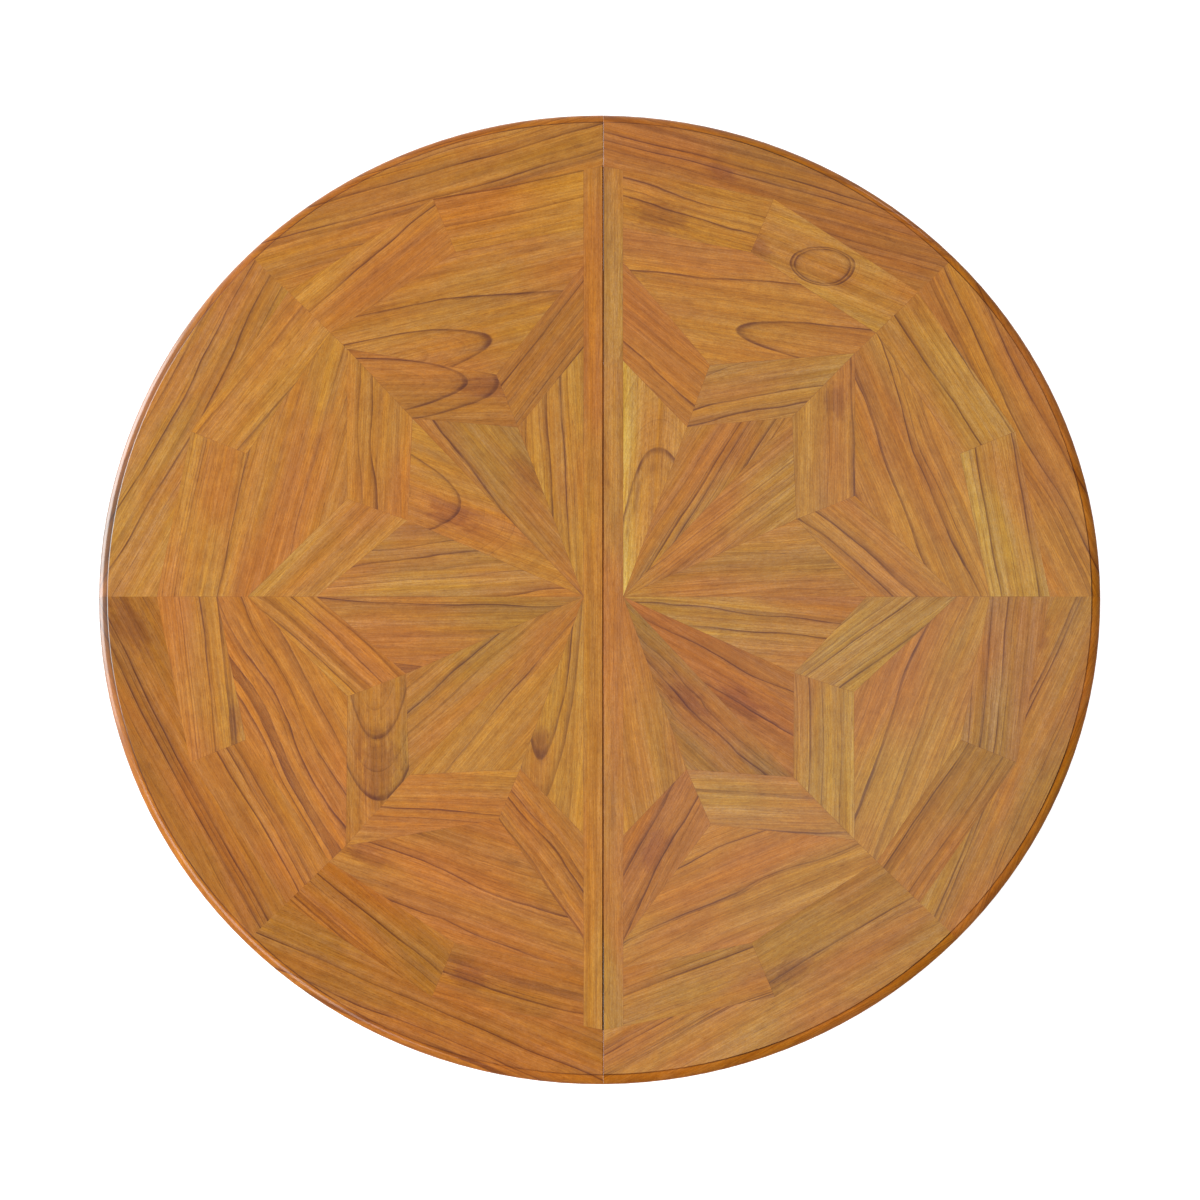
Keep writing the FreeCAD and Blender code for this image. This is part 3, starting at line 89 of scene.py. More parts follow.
# Each piece in turn from the back of the table to the front: its tone and its cut, then two places of
# the photograph, where the cut's arches have their middle and where the grain runs to. One or two
# places after that have a strong dark line running through them. A piece without places has its
# middle in its own middle, and its grain along its longest edge
PIECES = {
    "left_star_points": [
        ("honey", "rift", (571, 560), (562, 400), (562, 440), (553, 520)),
        ("brown", "bold", (530, 370), (684, 546), (500, 497)),
        ("syrup", "knot", (396, 492), (450, 512), (456, 512)),
        ("wheat", "bold", (440, 470), (590, 462), (430, 561)),
        ("brown", "lines", (450, 700), (600, 697), (450, 602)),
        ("brown", "sweep", (395, 640), (560, 500), (480, 722), (500, 640)),
        ("amber", "lines", (610, 790), (745, 630), (500, 705)),
        ("honey", "arch", (548, 640), (540, 765), (541, 763))],
    "left_star_band": [
        ("chestnut", "stripes", (498, 371), (580, 264), (538, 318), (546, 330)),
        ("chestnut", "bowl", (380, 389), (475, 388), (473, 387), (503, 385)),
        ("amber", "bold", (290, 430), (296, 300), (376, 450)),
        ("tan", "lines"),
        ("amber", "bold", (420, 560), (520, 650), (337, 639), (303, 652)),
        ("brown", "bowl", (377, 640), (379, 760), (379, 732), (380, 800)),
        ("amber", "lines", (440, 900), (560, 903), (440, 806)),
        ("chestnut", "bold", (480, 900), (560, 1002), (540, 846), (526, 862))],
    "left_star_surround": [
        ("amber", "loop", (380, 366), (512, 333), (500, 334), (552, 286)),
        ("syrup", "lines", (440, 480), (374, 720), (263, 430), (259, 430)),
        ("orange", "bold", (160, 720), (265, 900), (290, 690), (268, 690)),
        ("chestnut", "sweep", (360, 760), (590, 840), (470, 882), (440, 920))],
    "left_mid_ring": [
        ("apricot", "quarter", (515, 250), (600, 232), (515, 254), (540, 268)),
        ("apricot", "rift", (330, 262), (385, 218), (330, 257), (386, 252)),
        ("syrup", "rift", (282, 390), (225, 462), (270, 410), (282, 432)),
        ("syrup", "quarter", (200, 540), (188, 600)),
        ("syrup", "quarter", (205, 640), (218, 740), (206, 660), (223, 660)),
        ("chestnut", "rift", (265, 815), (302, 880), (268, 820), (246, 800)),
        ("walnut", "quarter", (380, 935), (440, 985), (360, 950), (420, 955)),
        ("walnut", "rift", (520, 990), (600, 1012), (470, 976))],
    "left_seam_strip": [("syrup", "plain")],
    "left_outer_ring": [
        ("amber", "rift", (470, 162), (600, 122), (470, 160), (480, 182)),
        ("wheat", "rift", (195, 370), (150, 450), (196, 370), (222, 372)),
        ("walnut", "quarter", (205, 820), (262, 925), (205, 822), (150, 700)),
        ("walnut", "rift", (400, 990), (480, 1024), (400, 991), (360, 1002))],
    "right_star_points": [
        ("cream", "loop", (648, 600), (656, 440), (656, 444)),
        ("clay", "stripes", (760, 560), (860, 405), (700, 490), (722, 470)),
        ("wheat", "dense", (600, 420), (757, 300)),
        ("clay", "dense", (640, 700), (840, 685)),
        ("wheat", "bold", (640, 700), (830, 715), (750, 609), (800, 634)),
        ("russet", "sweep", (640, 560), (790, 650), (735, 664), (760, 718)),
        ("umber", "squiggle", (740, 640), (870, 760), (702, 690), (682, 712)),
        ("wheat", "lines", (700, 640), (727, 800))],
    "right_star_band": [
        ("orange", "bold", (620, 440), (687, 495), (662, 382)),
        ("wheat", "bold", (700, 300), (845, 275), (760, 396), (742, 414)),
        ("syrup", "lines", (740, 500), (741, 360), (846, 420)),
        ("syrup", "bold", (900, 480), (990, 557), (856, 552), (842, 560)),
        ("tan", "stripes", (835, 654), (908, 599), (870, 628), (892, 649)),
        ("tan", "stripes", (812, 700), (812, 800), (807, 740), (853, 800)),
        ("wheat", "lines", (760, 900), (900, 903), (770, 825)),
        ("russet", "sweep", (590, 880), (650, 770), (645, 830), (668, 850))],
    "right_star_surround": [
        ("apricot", "arch", (872, 352), (722, 328), (724, 328), (668, 268)),
        ("apricot", "bold", (1060, 300), (1150, 515), (915, 440), (896, 480)),
        ("honey", "lines", (1050, 640), (951, 873), (925, 640), (890, 722)),
        ("syrup", "sweep", (640, 760), (850, 675), (760, 833), (742, 896))],
    "right_mid_ring": [
        ("apricot", "sweep", (650, 300), (760, 330), (690, 196), (690, 214)),
        ("straw", "knot", (819, 262), (850, 274), (843, 270), (847, 271)),
        ("straw", "rift", (950, 400), (976, 440), (952, 404), (995, 404)),
        ("pale", "rift", (985, 520), (1000, 595), (986, 520), (1023, 520)),
        ("dusk", "rift", (990, 660), (982, 740), (986, 660), (1002, 660)),
        ("brown", "quarter", (940, 800), (890, 875), (930, 800)),
        ("brown", "rift", (830, 940), (890, 905), (826, 946)),
        ("wheat", "quarter", (690, 985), (760, 960), (690, 970))],
    "right_seam_strip": [("wheat", "squiggle")],
    "right_outer_ring": [
        ("chestnut", "rift", (640, 148), (790, 190), (660, 141), (760, 178)),
        ("apricot", "rift", (1020, 430), (1076, 545), (985, 350), (1050, 430)),
        ("clay", "quarter", (1030, 730), (975, 850), (1040, 690), (1012, 740)),
        ("wheat", "quarter", (790, 1000), (900, 940), (720, 990))],
}
# Smoky patches in the figure: the piece, and the patch's place and half height in the photograph
SMOKE = {
    ("left_star_points", 1): (529, 474, 12),
    ("left_star_points", 2): (450, 514, 16),
    ("left_star_points", 7): (541, 745, 11),
    ("left_star_band", 1): (489, 387, 15),
    ("left_star_band", 5): (379, 765, 22),
    ("left_mid_ring", 4): (236, 722, 12),
    ("left_outer_ring", 2): (130, 622, 20),
    ("left_mid_ring", 7): (470, 975, 12),
    ("left_star_surround", 3): (365, 855, 12),
    ("right_star_points", 5): (740, 700, 16),
    ("right_star_points", 6): (690, 700, 14),
    ("right_star_band", 6): (735, 842, 12),
    ("right_star_band", 7): (655, 850, 14),
    ("right_star_band", 2): (838, 400, 12),
    ("right_mid_ring", 0): (662, 214, 19),
    ("right_mid_ring", 1): (752, 244, 13),
    ("right_mid_ring", 6): (790, 972, 15),
    ("right_outer_ring", 0): (722, 172, 9),
    ("right_outer_ring", 2): (1035, 640, 12),
}
# How much polish lies on the pieces, node by node, and on the pieces that aren't named here
POLISH = {
    "left_star_band": (0.7, 0.7, 0.65, 0.7, 0.65, 0.6, 0.7, 0.6),
    "left_star_surround": (0.7, 0.7, 0.65, 0.6),
    "left_mid_ring": (0.55, 0.7, 0.75, 0.75, 0.65, 0.55, 0.3, 0.4),
    "left_seam_strip": (0.55,),
    "left_outer_ring": (0.65, 0.7, 0.45, 0.35),
    "right_star_band": (0.8, 0.9, 1.0, 0.9, 0.9, 0.9, 1.1, 0.9),
    "right_star_surround": (0.9, 0.9, 1.05, 0.95),
}
POLISH_ELSEWHERE = 0.75
# How much polish lies on the rim, at angles round each half from the back to the front. Above 1 it also
# paints the rim's tone darker, as painted shade under the window's glare
RIM_POLISH = {
    "left": ((90, 0.4), (45, 0.6), (33, 1.3), (22, 2.0), (-2, 2.0), (-12, 1.2), (-25, 0.4), (-90, 0.2)),
    "right": ((90, 0.5), (45, 0.15), (-90, 0.12)),
}
# The photograph's scale on the top: one pixel in metres across and down, and the seam's middle pixel
PIXEL = 0.001198
PIXEL_DOWN = 0.0012384
SEAM_PIXEL = (603.75, 596.6)

# Tones of the edges: the joints between veneers and the moulded rim, then painted shade at the rim's
# step and painted shade in the seam
JOINT = (0.21, 0.075, 0.016)
RIM = (0.38, 0.125, 0.004)
STEP_SHADE = (0.06, 0.018, 0.004)
SEAM_SHADE = (0.05, 0.018, 0.007)
# How much darker the rim's tone is painted as its polish goes from 1 to 2: painted shade under the
# window's glare
RIM_SHADE = 0.6
# Tones of the woods under the top, and the turns that lay the grain along x, along y or upright
STAIN = (0.44, 0.165, 0.035)
PALE_WOOD = (0.56, 0.36, 0.19)
PANEL_WOOD = (0.50, 0.31, 0.15)
ALONG_X = (0, 0, 0)
ALONG_Y = (0, 0, -math.pi / 2)
UPRIGHT = (0, math.pi / 2, 0)
# The dark and the light tone of the felt and of the glides' plastic
FELT_TONES = ((0.035, 0.085, 0.032), (0.085, 0.17, 0.075))
PLASTIC_TONES = ((0.035, 0.024, 0.018), (0.055, 0.04, 0.03))

# How many segments each half's outer ring has
SEGMENTS = 4
# How wide the edges are eased, in metres: at the seam of each side, at the step and round each veneer,
# where the eased edge is a tenth as deep as it is wide
SEAM_EASE = {-1: 0.0014, 1: 0.0008}
STEP_EASE = 0.0007
ARRIS = 0.00016
ARRIS_DEPTH = 0.1
# How far each half's face stands back from the seam
SEAM_GAP = 0.00003
# How near a point is that counts as at the seam, at the step's edge, or anywhere on the step
AT_SEAM = 0.0004
AT_STEP = 0.0003
ON_STEP = 0.0008
# How far under the top the seam's edge still counts, the rim begins, and a face is no longer on it
SEAM_DEPTH = 0.0005
RIM_DEPTH = 0.0004
OFF_TOP = 1e-5
# How far an eased face's corners may lie from the edge, in its widths, and how steep it is
EASE_REACH = 1.1
EASED_SLOPE = (0.3, 0.95)
# The angles in degrees over which an edge is shaded as sharp, where it is eased and elsewhere
EASED_SHARP = 20
SHARP = 30

# A distance in metres that no piece reaches, for the strong lines and patches that it doesn't have
NOWHERE = 9.0
NO_SMOKE = (NOWHERE, NOWHERE, 0.001)
# The first seed of a figure, how much it grows from piece to piece, from half to half, with the
# length of a node's name and from one part of a solid to the next, and the ring's and the apron's own
FIRST_SEED = 3
PIECE_SEED = 1.7
HALF_SEED = 9
NAME_SEED = 0.61
PART_SEED = 2.3
RING_FIRST_SEED = 5
APRON_SEED = 20
# A seed is kept as a fraction in the tone's fourth part, and the shader spreads it again
SEED_STEP = 0.137
SEED_SPREAD = 10.0
# How far a seed moves the noises, and the weights of the rings
SEED_SHIFT = (7.3, 3.1, 5.7)
RING_SEED = 13.7

# The noises in the wood: how often each repeats in a metre along and across the grain, its detail and
# its roughness, and how far it is moved so that it looks unlike the others
NOISES = {
    "drift": (3.2, 7.0, 2.0, 0.5, None),
    "ripple": (16.0, 42.0, 2.0, 0.5, None),
    "sinking": (3.6, 5.0, 1.0, 0.5, (11.0, 4.0, 2.0)),
    "breaks": (11.0, 60.0, 3.0, 0.5, None),
    "pores": (95.0, 1500.0, 1.0, 0.5, None),
    "clouds": (4.5, 13.0, 2.0, 0.5, None),
    "streaks": (2.2, 75.0, 4.0, 0.65, None),
    "mottle": (55.0, 95.0, 3.0, 0.6, (8.0, 1.0, 3.0)),
    "fibres": (14.0, 620.0, 2.0, 0.6, None),
    "grit": (420.0, 800.0, 2.0, 0.7, None),
    "bloom": (5.0, 110.0, 3.0, 0.6, (5.0, 9.0, 1.0)),
    "speckle": (260.0, 480.0, 2.0, 0.7, (2.0, 6.0, 4.0)),
    "ragged": (45.0, 130.0, 3.0, 0.65, None),
}
# What the noises reach, low and high, and how light they make the wood there. Green and blue follow
# the light more strongly than red does, and have noises of their own
NOISE_ENDS = (0.25, 0.75)
NOISE_MIDDLE = 0.5
LIGHT = {"streaks": (0.84, 1.15), "mottle": (0.91, 1.09), "fibres": (0.85, 1.11), "grit": (0.90, 1.08)}
GREEN = {"bloom": (0.95, 1.06), "speckle": (0.93, 1.06)}
BLUE = {"bloom": (0.50, 1.50), "speckle": (0.62, 1.38)}
GREEN_POWER = 1.3
BLUE_POWER = 1.6
# How far the noises bend the rings at a waver of 1, in metres
SWINGS = {"drift": 0.075, "ripple": 0.0075, "sinking": 0.05}
# How often the ring spacing changes from ring to ring, and by how many rings
UNEVEN_OFTEN = 0.55
UNEVEN_RINGS = 2.6
# The weight of a ring's line: the power that makes strong ones rare, and the least weight
RARE_POWER = 2.2
LEAST_WEIGHT = 0.10
# A line is a sharp rise with a soft one round it: their powers, where the sharp one drops, and how
# dark they are
SHARP_POWER = 9.0
SHARP_DROP = (1.0, 0.965)
SHARP_DARKNESS = 1.15
SOFT_POWER = 2.2
SOFT_DARKNESS = 0.20
# Where a noise breaks the lines and what it leaves of them, and what stays of a strong line
BREAKS = (0.30, 0.62, 0.35, 1.0)
LEAST_FIRM = 0.62
# The fine rings between two lines: their number, the power of their rise and how dark they are
FINE_RINGS = 4.0
FINE_POWER = 3.0
FINE_DARKNESS = 0.085
# Where the pores' and the clouds' noises begin and end, the pores' darkness and the clouds' tone
PORES = (0.60, 0.72)
PORE_DARKNESS = 0.30
CLOUDS = (0.30, 0.72)
CLOUD_TONE = (0.42, 0.130, 0.021)
CLOUD_SHARE = 0.70
# A smoky patch: how its length along the grain counts, its ragged edge, its tint and its cover
SMOKE_STRETCH = 0.5
SMOKE_EDGE = (0.3, 0.7, 0.7, 1.7)
SMOKE_TINT = (0.53, 0.36, 0.70)
SMOKE_COVER = (1.0, 0.3, 0.0, 0.52)
# A dark line's tint. A strong line has an outer edge, a core and an inner side that fades, in metres
# from the place that it runs through
LINE_TINT = (0.36, 0.26, 0.42)
LINE_EDGE = (0.0005, -0.0002)
LINE_CORE = (-0.0032, -0.0004)
LINE_FADE = (-0.0065, 0.0002)
FADE_DARKNESS = 0.45
# How much of the wood's relief comes from its fibres, and how deep it is and how much of that shows
FIBRE_RELIEF = 0.5
RELIEF = (0.00012, 0.5)
# The lacquer's roughness over the relief, its coat's own, and its specular level, which follows the
# polish where that differs from place to place
SHEEN = (-1.0, 0.5, 0.40, 0.30)
COAT_ROUGHNESS = 0.11
SPECULAR = 0.25
SPECULAR_SHARE = 0.33
# On the solids that keep their own mesh, the lines are paler and the polish is thinner
SOLID_DARKNESS = 0.8
SOLID_POLISH = 0.3
# Metal's scratches: their noise's detail and roughness, where it begins and ends, how deep they are
# and how much of that shows, and how much rougher the metal gets in them
SCRATCH_DETAIL = (3.0, 0.6)
SCRATCH_ENDS = (0.2, 0.8)
SCRATCH_RELIEF = (0.00005, 0.4)
SCRATCH_ROUGHNESS = 0.18
# Metal's blotches: how often they repeat, their noise's detail, where it begins and ends, and the
# share of the tone that is left in them
BLOTCHES = (35.0, 35.0, 35.0)
BLOTCH_DETAIL = 3.0
BLOTCH_ENDS = (0.35, 0.7)
BLOTCH_TONE = 0.72
# Where the noise of felt and plastic begins and ends
GRAIN_ENDS = (0.3, 0.7)


# A place on the table's top, from where it shows in the photograph, which is 1200 pixels wide
def from_photo(place):
    across = (place[0] - SEAM_PIXEL[0]) * PIXEL
    return Vector((SEAM_X + across, (SEAM_PIXEL[1] - place[1]) * PIXEL_DOWN, TOP))


def opaque(colour):
    return (*colour, 1.0)


# A shader network that is written one step at a time
class Graph:
    def __init__(self, tree):
        self.tree = tree

    def feed(self, socket, value):
        if isinstance(value, bpy.types.NodeSocket):
            self.tree.links.new(value, socket)
        else:
            socket.default_value = value

    def add(self, kind, values=(), **settings):
        made = self.tree.nodes.new(kind)
        for name, value in settings.items():
            setattr(made, name, value)
        for name, value in dict(values).items():
            self.feed(made.inputs[name], value)
        return made

    def math(self, operation, *values):
        return self.add("ShaderNodeMath", enumerate(values), operation=operation).outputs[0]

    def times(self, first, *others):
        for other in others:
            first = self.math("MULTIPLY", first, other)
        return first

    def plus(self, first, second):
        return self.math("ADD", first, second)

    def minus(self, first, second):
        return self.math("SUBTRACT", first, second)

    def power(self, value, exponent):
        return self.math("POWER", value, exponent)

    def larger(self, first, second):
        return self.math("MAXIMUM", first, second)

    def length(self, first, second):
        return self.math("SQRT", self.plus(self.times(first, first), self.times(second, second)))

    def parts(self, vector):
        return tuple(self.add("ShaderNodeSeparateXYZ", {0: vector}).outputs)

    def scaled(self, vector, scale):
        values = {0: vector, 1: scale}
        return self.add("ShaderNodeVectorMath", values, operation="MULTIPLY").outputs[0]

    def shifted(self, vector, other):
        return self.add("ShaderNodeVectorMath", {0: vector, 1: other}, operation="ADD").outputs[0]

    def noise(self, vector, scale, detail, roughness=0.5):
        values = {"Vector": self.scaled(vector, scale), "Scale": 1.0, "Detail": detail,
                  "Roughness": roughness}
        return self.add("ShaderNodeTexNoise", values).outputs[0]

    def spread(self, value, low, high, new_low=0.0, new_high=1.0, kind="SMOOTHSTEP"):
        values = {0: value, 1: low, 2: high, 3: new_low, 4: new_high}
        return self.add("ShaderNodeMapRange", values, interpolation_type=kind).outputs[0]

    def blend(self, factor, first, second, mode="MIX"):
        values = {0: factor, 6: first, 7: second}
        return self.add("ShaderNodeMix", values, data_type="RGBA", blend_type=mode).outputs[2]


# The network of a material, which ends in the principled shader
class Paint(Graph):
    def __init__(self, name):
        self.material = bpy.data.materials.new(name)
        self.material.use_nodes = True
        super().__init__(self.material.node_tree)
        self.surface = self.tree.nodes["Principled BSDF"]

    def place(self):
        return self.add("ShaderNodeTexCoord").outputs["Object"]

    def paint(self, colour, **values):
        self.feed(self.surface.inputs["Base Color"], colour)
        for name, value in values.items():
            title = name.replace("_", " ").title().replace("Ior", "IOR")
            self.feed(self.surface.inputs[title], value)
        return self.material

    def raise_by(self, height, distance, strength=1.0):
        values = {"Height": height, "Distance": distance, "Strength": strength}
        self.feed(self.surface.inputs["Normal"], self.add("ShaderNodeBump", values).outputs[0])


# Growth rings round a pith, seen where the board's face cuts them. The grain runs along the first
# coordinate. sawn holds how far the pith lies across and below and its slope, figure holds the ring
# spacing, the lines' darkness and their waver, and accents holds how far the strong lines are from
# the pith. smoke is a patch's place along and across the grain, and its half height
def wood_colour(graph, grain, sawn, figure, seed, tone, accents=(), smoke=None):
    across, below, slope = sawn
    spacing, darkness, waver = figure
    along, aside, depth = graph.parts(grain)
    seeds = graph.add("ShaderNodeCombineXYZ", {0: seed, 1: seed, 2: seed}).outputs[0]
    place = graph.shifted(grain, graph.scaled(seeds, SEED_SHIFT))

    def noise(name):
        long, wide, detail, roughness, moved = NOISES[name]
        start = graph.shifted(place, moved) if moved else place
        return graph.noise(start, (long, wide, wide), detail, roughness)

    def swing(name):
        return graph.times(graph.minus(noise(name), NOISE_MIDDLE), graph.times(waver, SWINGS[name]))

    out = graph.plus(graph.minus(aside, across), graph.plus(swing("drift"), swing("ripple")))
    rise = graph.times(slope, along)
    deep = graph.plus(graph.minus(below, depth), graph.plus(swing("sinking"), rise))
    reach = graph.length(out, deep)
    rings = graph.math("DIVIDE", reach, spacing)
    values = {"W": graph.plus(graph.times(rings, UNEVEN_OFTEN), seed), "Scale": 1.0, "Detail": 1.0}
    uneven = graph.add("ShaderNodeTexNoise", values, noise_dimensions="1D").outputs[0]
    rings = graph.plus(rings, graph.times(uneven, UNEVEN_RINGS))
    share = graph.math("FRACT", rings)
    number = graph.plus(graph.math("FLOOR", rings), graph.times(seed, RING_SEED))
    weight = graph.add("ShaderNodeTexWhiteNoise", {"W": number}, noise_dimensions="1D").outputs[0]
    weight = graph.plus(graph.power(weight, RARE_POWER), LEAST_WEIGHT)
    broken = graph.spread(noise("breaks"), *BREAKS)
    firm = graph.larger(broken, LEAST_FIRM)
    sharp = graph.times(graph.power(share, SHARP_POWER), graph.spread(share, *SHARP_DROP))
    line = graph.times(sharp, weight, broken, SHARP_DARKNESS, darkness)
    soft = graph.times(graph.power(share, SOFT_POWER), SOFT_DARKNESS, weight, darkness)
    fine = graph.math("FRACT", graph.times(rings, FINE_RINGS))
    fine = graph.times(graph.power(fine, FINE_POWER), FINE_DARKNESS)
    pores = graph.times(graph.spread(noise("pores"), *PORES), PORE_DARKNESS)
    cloud = graph.blend(CLOUD_SHARE, tone, opaque(CLOUD_TONE))
    warm = graph.blend(graph.spread(noise("clouds"), *CLOUDS), tone, cloud)
    heard = {name: noise(name) for name in (*LIGHT, *BLUE)}

    def shades(ends):
        return [graph.spread(heard[name], *NOISE_ENDS, *new_ends) for name, new_ends in ends.items()]

    light = graph.times(*shades(LIGHT), graph.minus(1.0, graph.plus(fine, pores)))
    green = graph.times(graph.power(light, GREEN_POWER), *shades(GREEN))
    blue = graph.times(graph.power(light, BLUE_POWER), *shades(BLUE))
    shade = graph.add("ShaderNodeCombineColor", {0: light, 1: green, 2: blue}).outputs[0]
    body = graph.blend(1.0, warm, shade, "MULTIPLY")
    if smoke:
        beside = graph.times(graph.minus(along, smoke[0]), SMOKE_STRETCH)
        away = graph.length(beside, graph.minus(aside, smoke[1]))
        edge = graph.times(smoke[2], graph.spread(noise("ragged"), *SMOKE_EDGE))
        cover = graph.spread(graph.math("DIVIDE", away, edge), *SMOKE_COVER)
        body = graph.blend(cover, body, graph.blend(1.0, body, opaque(SMOKE_TINT), "MULTIPLY"))
    mark = graph.math("MINIMUM", graph.plus(line, soft), 1.0)
    for accent in accents:
        gap = graph.minus(reach, accent)
        fade = graph.times(graph.spread(gap, *LINE_FADE), FADE_DARKNESS)
        core = graph.larger(graph.spread(gap, *LINE_CORE), fade)
        core = graph.times(core, graph.times(graph.spread(gap, *LINE_EDGE), firm))
        mark = graph.larger(mark, core)
    height = graph.minus(graph.times(heard["fibres"], FIBRE_RELIEF), graph.plus(pores, mark))
    return graph.blend(mark, body, graph.blend(1.0, body, opaque(LINE_TINT), "MULTIPLY")), height


def lacquer(graph, colour, height, polish):
    graph.raise_by(height, *RELIEF)
    specular = SPECULAR
    if isinstance(polish, bpy.types.NodeSocket):
        specular = graph.times(polish, SPECULAR_SHARE)
    return graph.paint(colour, roughness=graph.spread(height, *SHEEN), specular_ior_level=specular,
                       coat_weight=polish, coat_roughness=COAT_ROUGHNESS)


# The wood of pieces that carry their own grain, sawing, figure and tone in their vertices
def laid_wood():
    graph = Paint("lacquered_parquet")

    def read(name):
        return graph.add("ShaderNodeAttribute", attribute_name=name).outputs

    grain, sawn, figure, accents, smoke = [
        read(name)["Vector"] for name in ("grain", "sawn", "figure", "accents", "smoke")]
    tone = read("tone")
    *strong, polish = graph.parts(accents)
    seed = graph.times(tone["Alpha"], SEED_SPREAD)
    colour, height = wood_colour(graph, grain, graph.parts(sawn), graph.parts(figure), seed,
                                 tone["Color"], strong, graph.parts(smoke))
    return lacquer(graph, colour, height, polish)


# The wood of a solid that stays as it is: its grain follows a turned set of axes
def solid_wood(name, tone, turn, cut, polish, seed, shift=(0, 0, 0)):
    graph = Paint(name)
    values = {"Vector": graph.place(), "Rotation": turn}
    turned = graph.add("ShaderNodeVectorRotate", values, rotation_type="EULER_XYZ").outputs[0]
    *sawn, spacing, darkness, waver = CUTS[cut]
    figure = (spacing, darkness * SOLID_DARKNESS, waver)
    colour, height = wood_colour(graph, graph.shifted(turned, shift), sawn, figure, seed, opaque(tone))
    return lacquer(graph, colour, height, SOLID_POLISH * polish)


# Brushed metal: duller in blotches, and rougher in its scratches
def metal(name, colour, roughness, scratches):
    graph = Paint(name)
    place = graph.place()
    brushed = graph.noise(place, scratches, *SCRATCH_DETAIL)
    blotches = graph.noise(place, BLOTCHES, BLOTCH_DETAIL)
    dull = [part * BLOTCH_TONE for part in colour]
    tint = graph.blend(graph.spread(blotches, *BLOTCH_ENDS), opaque(colour), opaque(dull))
    graph.raise_by(brushed, *SCRATCH_RELIEF)
    roughness = graph.spread(brushed, *SCRATCH_ENDS, roughness, roughness + SCRATCH_ROUGHNESS)
    return graph.paint(tint, metallic=1.0, roughness=roughness)


# Felt and plastic: a fine grain between two tones, which is also their relief
def grained(name, often, detail, harshness, tones, relief, **values):
    graph = Paint(name)
    grain = graph.noise(graph.place(), (often, often, often), detail, harshness)
    graph.raise_by(grain, relief)
    return graph.paint(graph.blend(graph.spread(grain, *GRAIN_ENDS), *map(opaque, tones)), **values)


# A mesh whose vertices carry what the wood shader reads
class Board:
    def __init__(self):
        self.points = []
        self.faces = []
        self.read = {"grain": [], "sawn": [], "figure": [], "accents": [], "smoke": [], "tone": []}

    def take(self, corners, faces, laying, seed, tone=None):
        first = len(self.points)
        self.points += corners
        self.faces += [[first + k for k in face] for face in faces]
        for corner in corners:
            self.read["grain"].append(laying.place(corner))
            self.read["sawn"].append(laying.sawn)
            self.read["figure"].append(laying.figure)
            self.read["accents"].append(laying.accents)
            self.read["smoke"].append(laying.smoke)
            self.read["tone"].append((*(tone or laying.tone), (seed * SEED_STEP) % 1.0))

    def finish(self, name, body, node, slot_name, sharp):
        mesh = bpy.data.meshes.new(name)
        mesh.from_pydata(self.points, [], self.faces)
        for label, values in self.read.items():
            kind, channel = ("FLOAT_COLOR", "color") if label == "tone" else ("FLOAT_VECTOR", "vector")
            layer = mesh.attributes.new(label, kind, "POINT")
            layer.data.foreach_set(channel, [number for value in values for number in value])
        thing = bpy.data.objects.new(name, mesh)
        bpy.context.scene.collection.objects.link(thing)
        mesh.materials.append(parquet)
        mesh.shade_smooth()
        mesh.set_sharp_from_angle(angle=math.radians(sharp))
        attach(thing, body)
        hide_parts(node)
        return thing


# How a piece was laid: its style, and the grain's own coordinates, which are how far a corner is
# along the grain from the cut's middle, how far across it, and how deep under the top
class Laying:
    def __init__(self, style, middle, heading, smoke=None, polish=POLISH_ELSEWHERE):
        tone, cut, *places = style
        self.tone = TONES[tone]
        across, below, slope, *self.figure = CUTS[cut]
        self.middle = middle
        spots = [from_photo(place) for place in places]
        if spots:
            across = across if cut in STRAIGHT else 0.0
            self.middle = spots[0]
            heading = math.atan2(spots[1].y - spots[0].y, spots[1].x - spots[0].x)
        self.along = Vector((math.cos(heading), math.sin(heading), 0))
        self.aside = Vector((-self.along.y, self.along.x, 0))
        self.sawn = (across, below, slope)
        reaches = [self.reach(spot) for spot in spots[2:]]
        self.accents = (*reaches, NOWHERE, NOWHERE)[:2] + (polish,)
        self.smoke = NO_SMOKE
        if smoke:
            along, aside, _ = self.place(from_photo(smoke[:2]))
            self.smoke = (along, aside, smoke[2] * PIXEL)

    def place(self, corner):
        offset = Vector(corner) - self.middle
        return (offset.dot(self.along), offset.dot(self.aside), corner[2] - TOP)

    def reach(self, spot):
        along, aside, depth = self.place(spot)
        across, below, slope = self.sawn
        return math.hypot(aside - across, below - depth + slope * along)


# The apron is bent, so its grain runs round with it
class BentLaying(Laying):
    def __init__(self, style, side):
        super().__init__(style, None, 0)
        self.side = side

    def place(self, corner):
        turn = math.atan2(corner[1], self.side * corner[0])
        inwards = APRON_RADIUS - math.hypot(corner[0], corner[1])
        return (turn * APRON_RADIUS, corner[2] - APRON_MIDDLE, inwards)


# The laying of a piece of the top. Its outline is needed only where its style names no places
def laying_of(node, number, outline=()):
    middle, heading = (middle_of(outline), longest_run(outline)) if outline else (None, 0)
    polish = POLISH[node][number] if node in POLISH else POLISH_ELSEWHERE
    return Laying(PIECES[node][number], middle, heading, SMOKE.get((node, number)), polish)


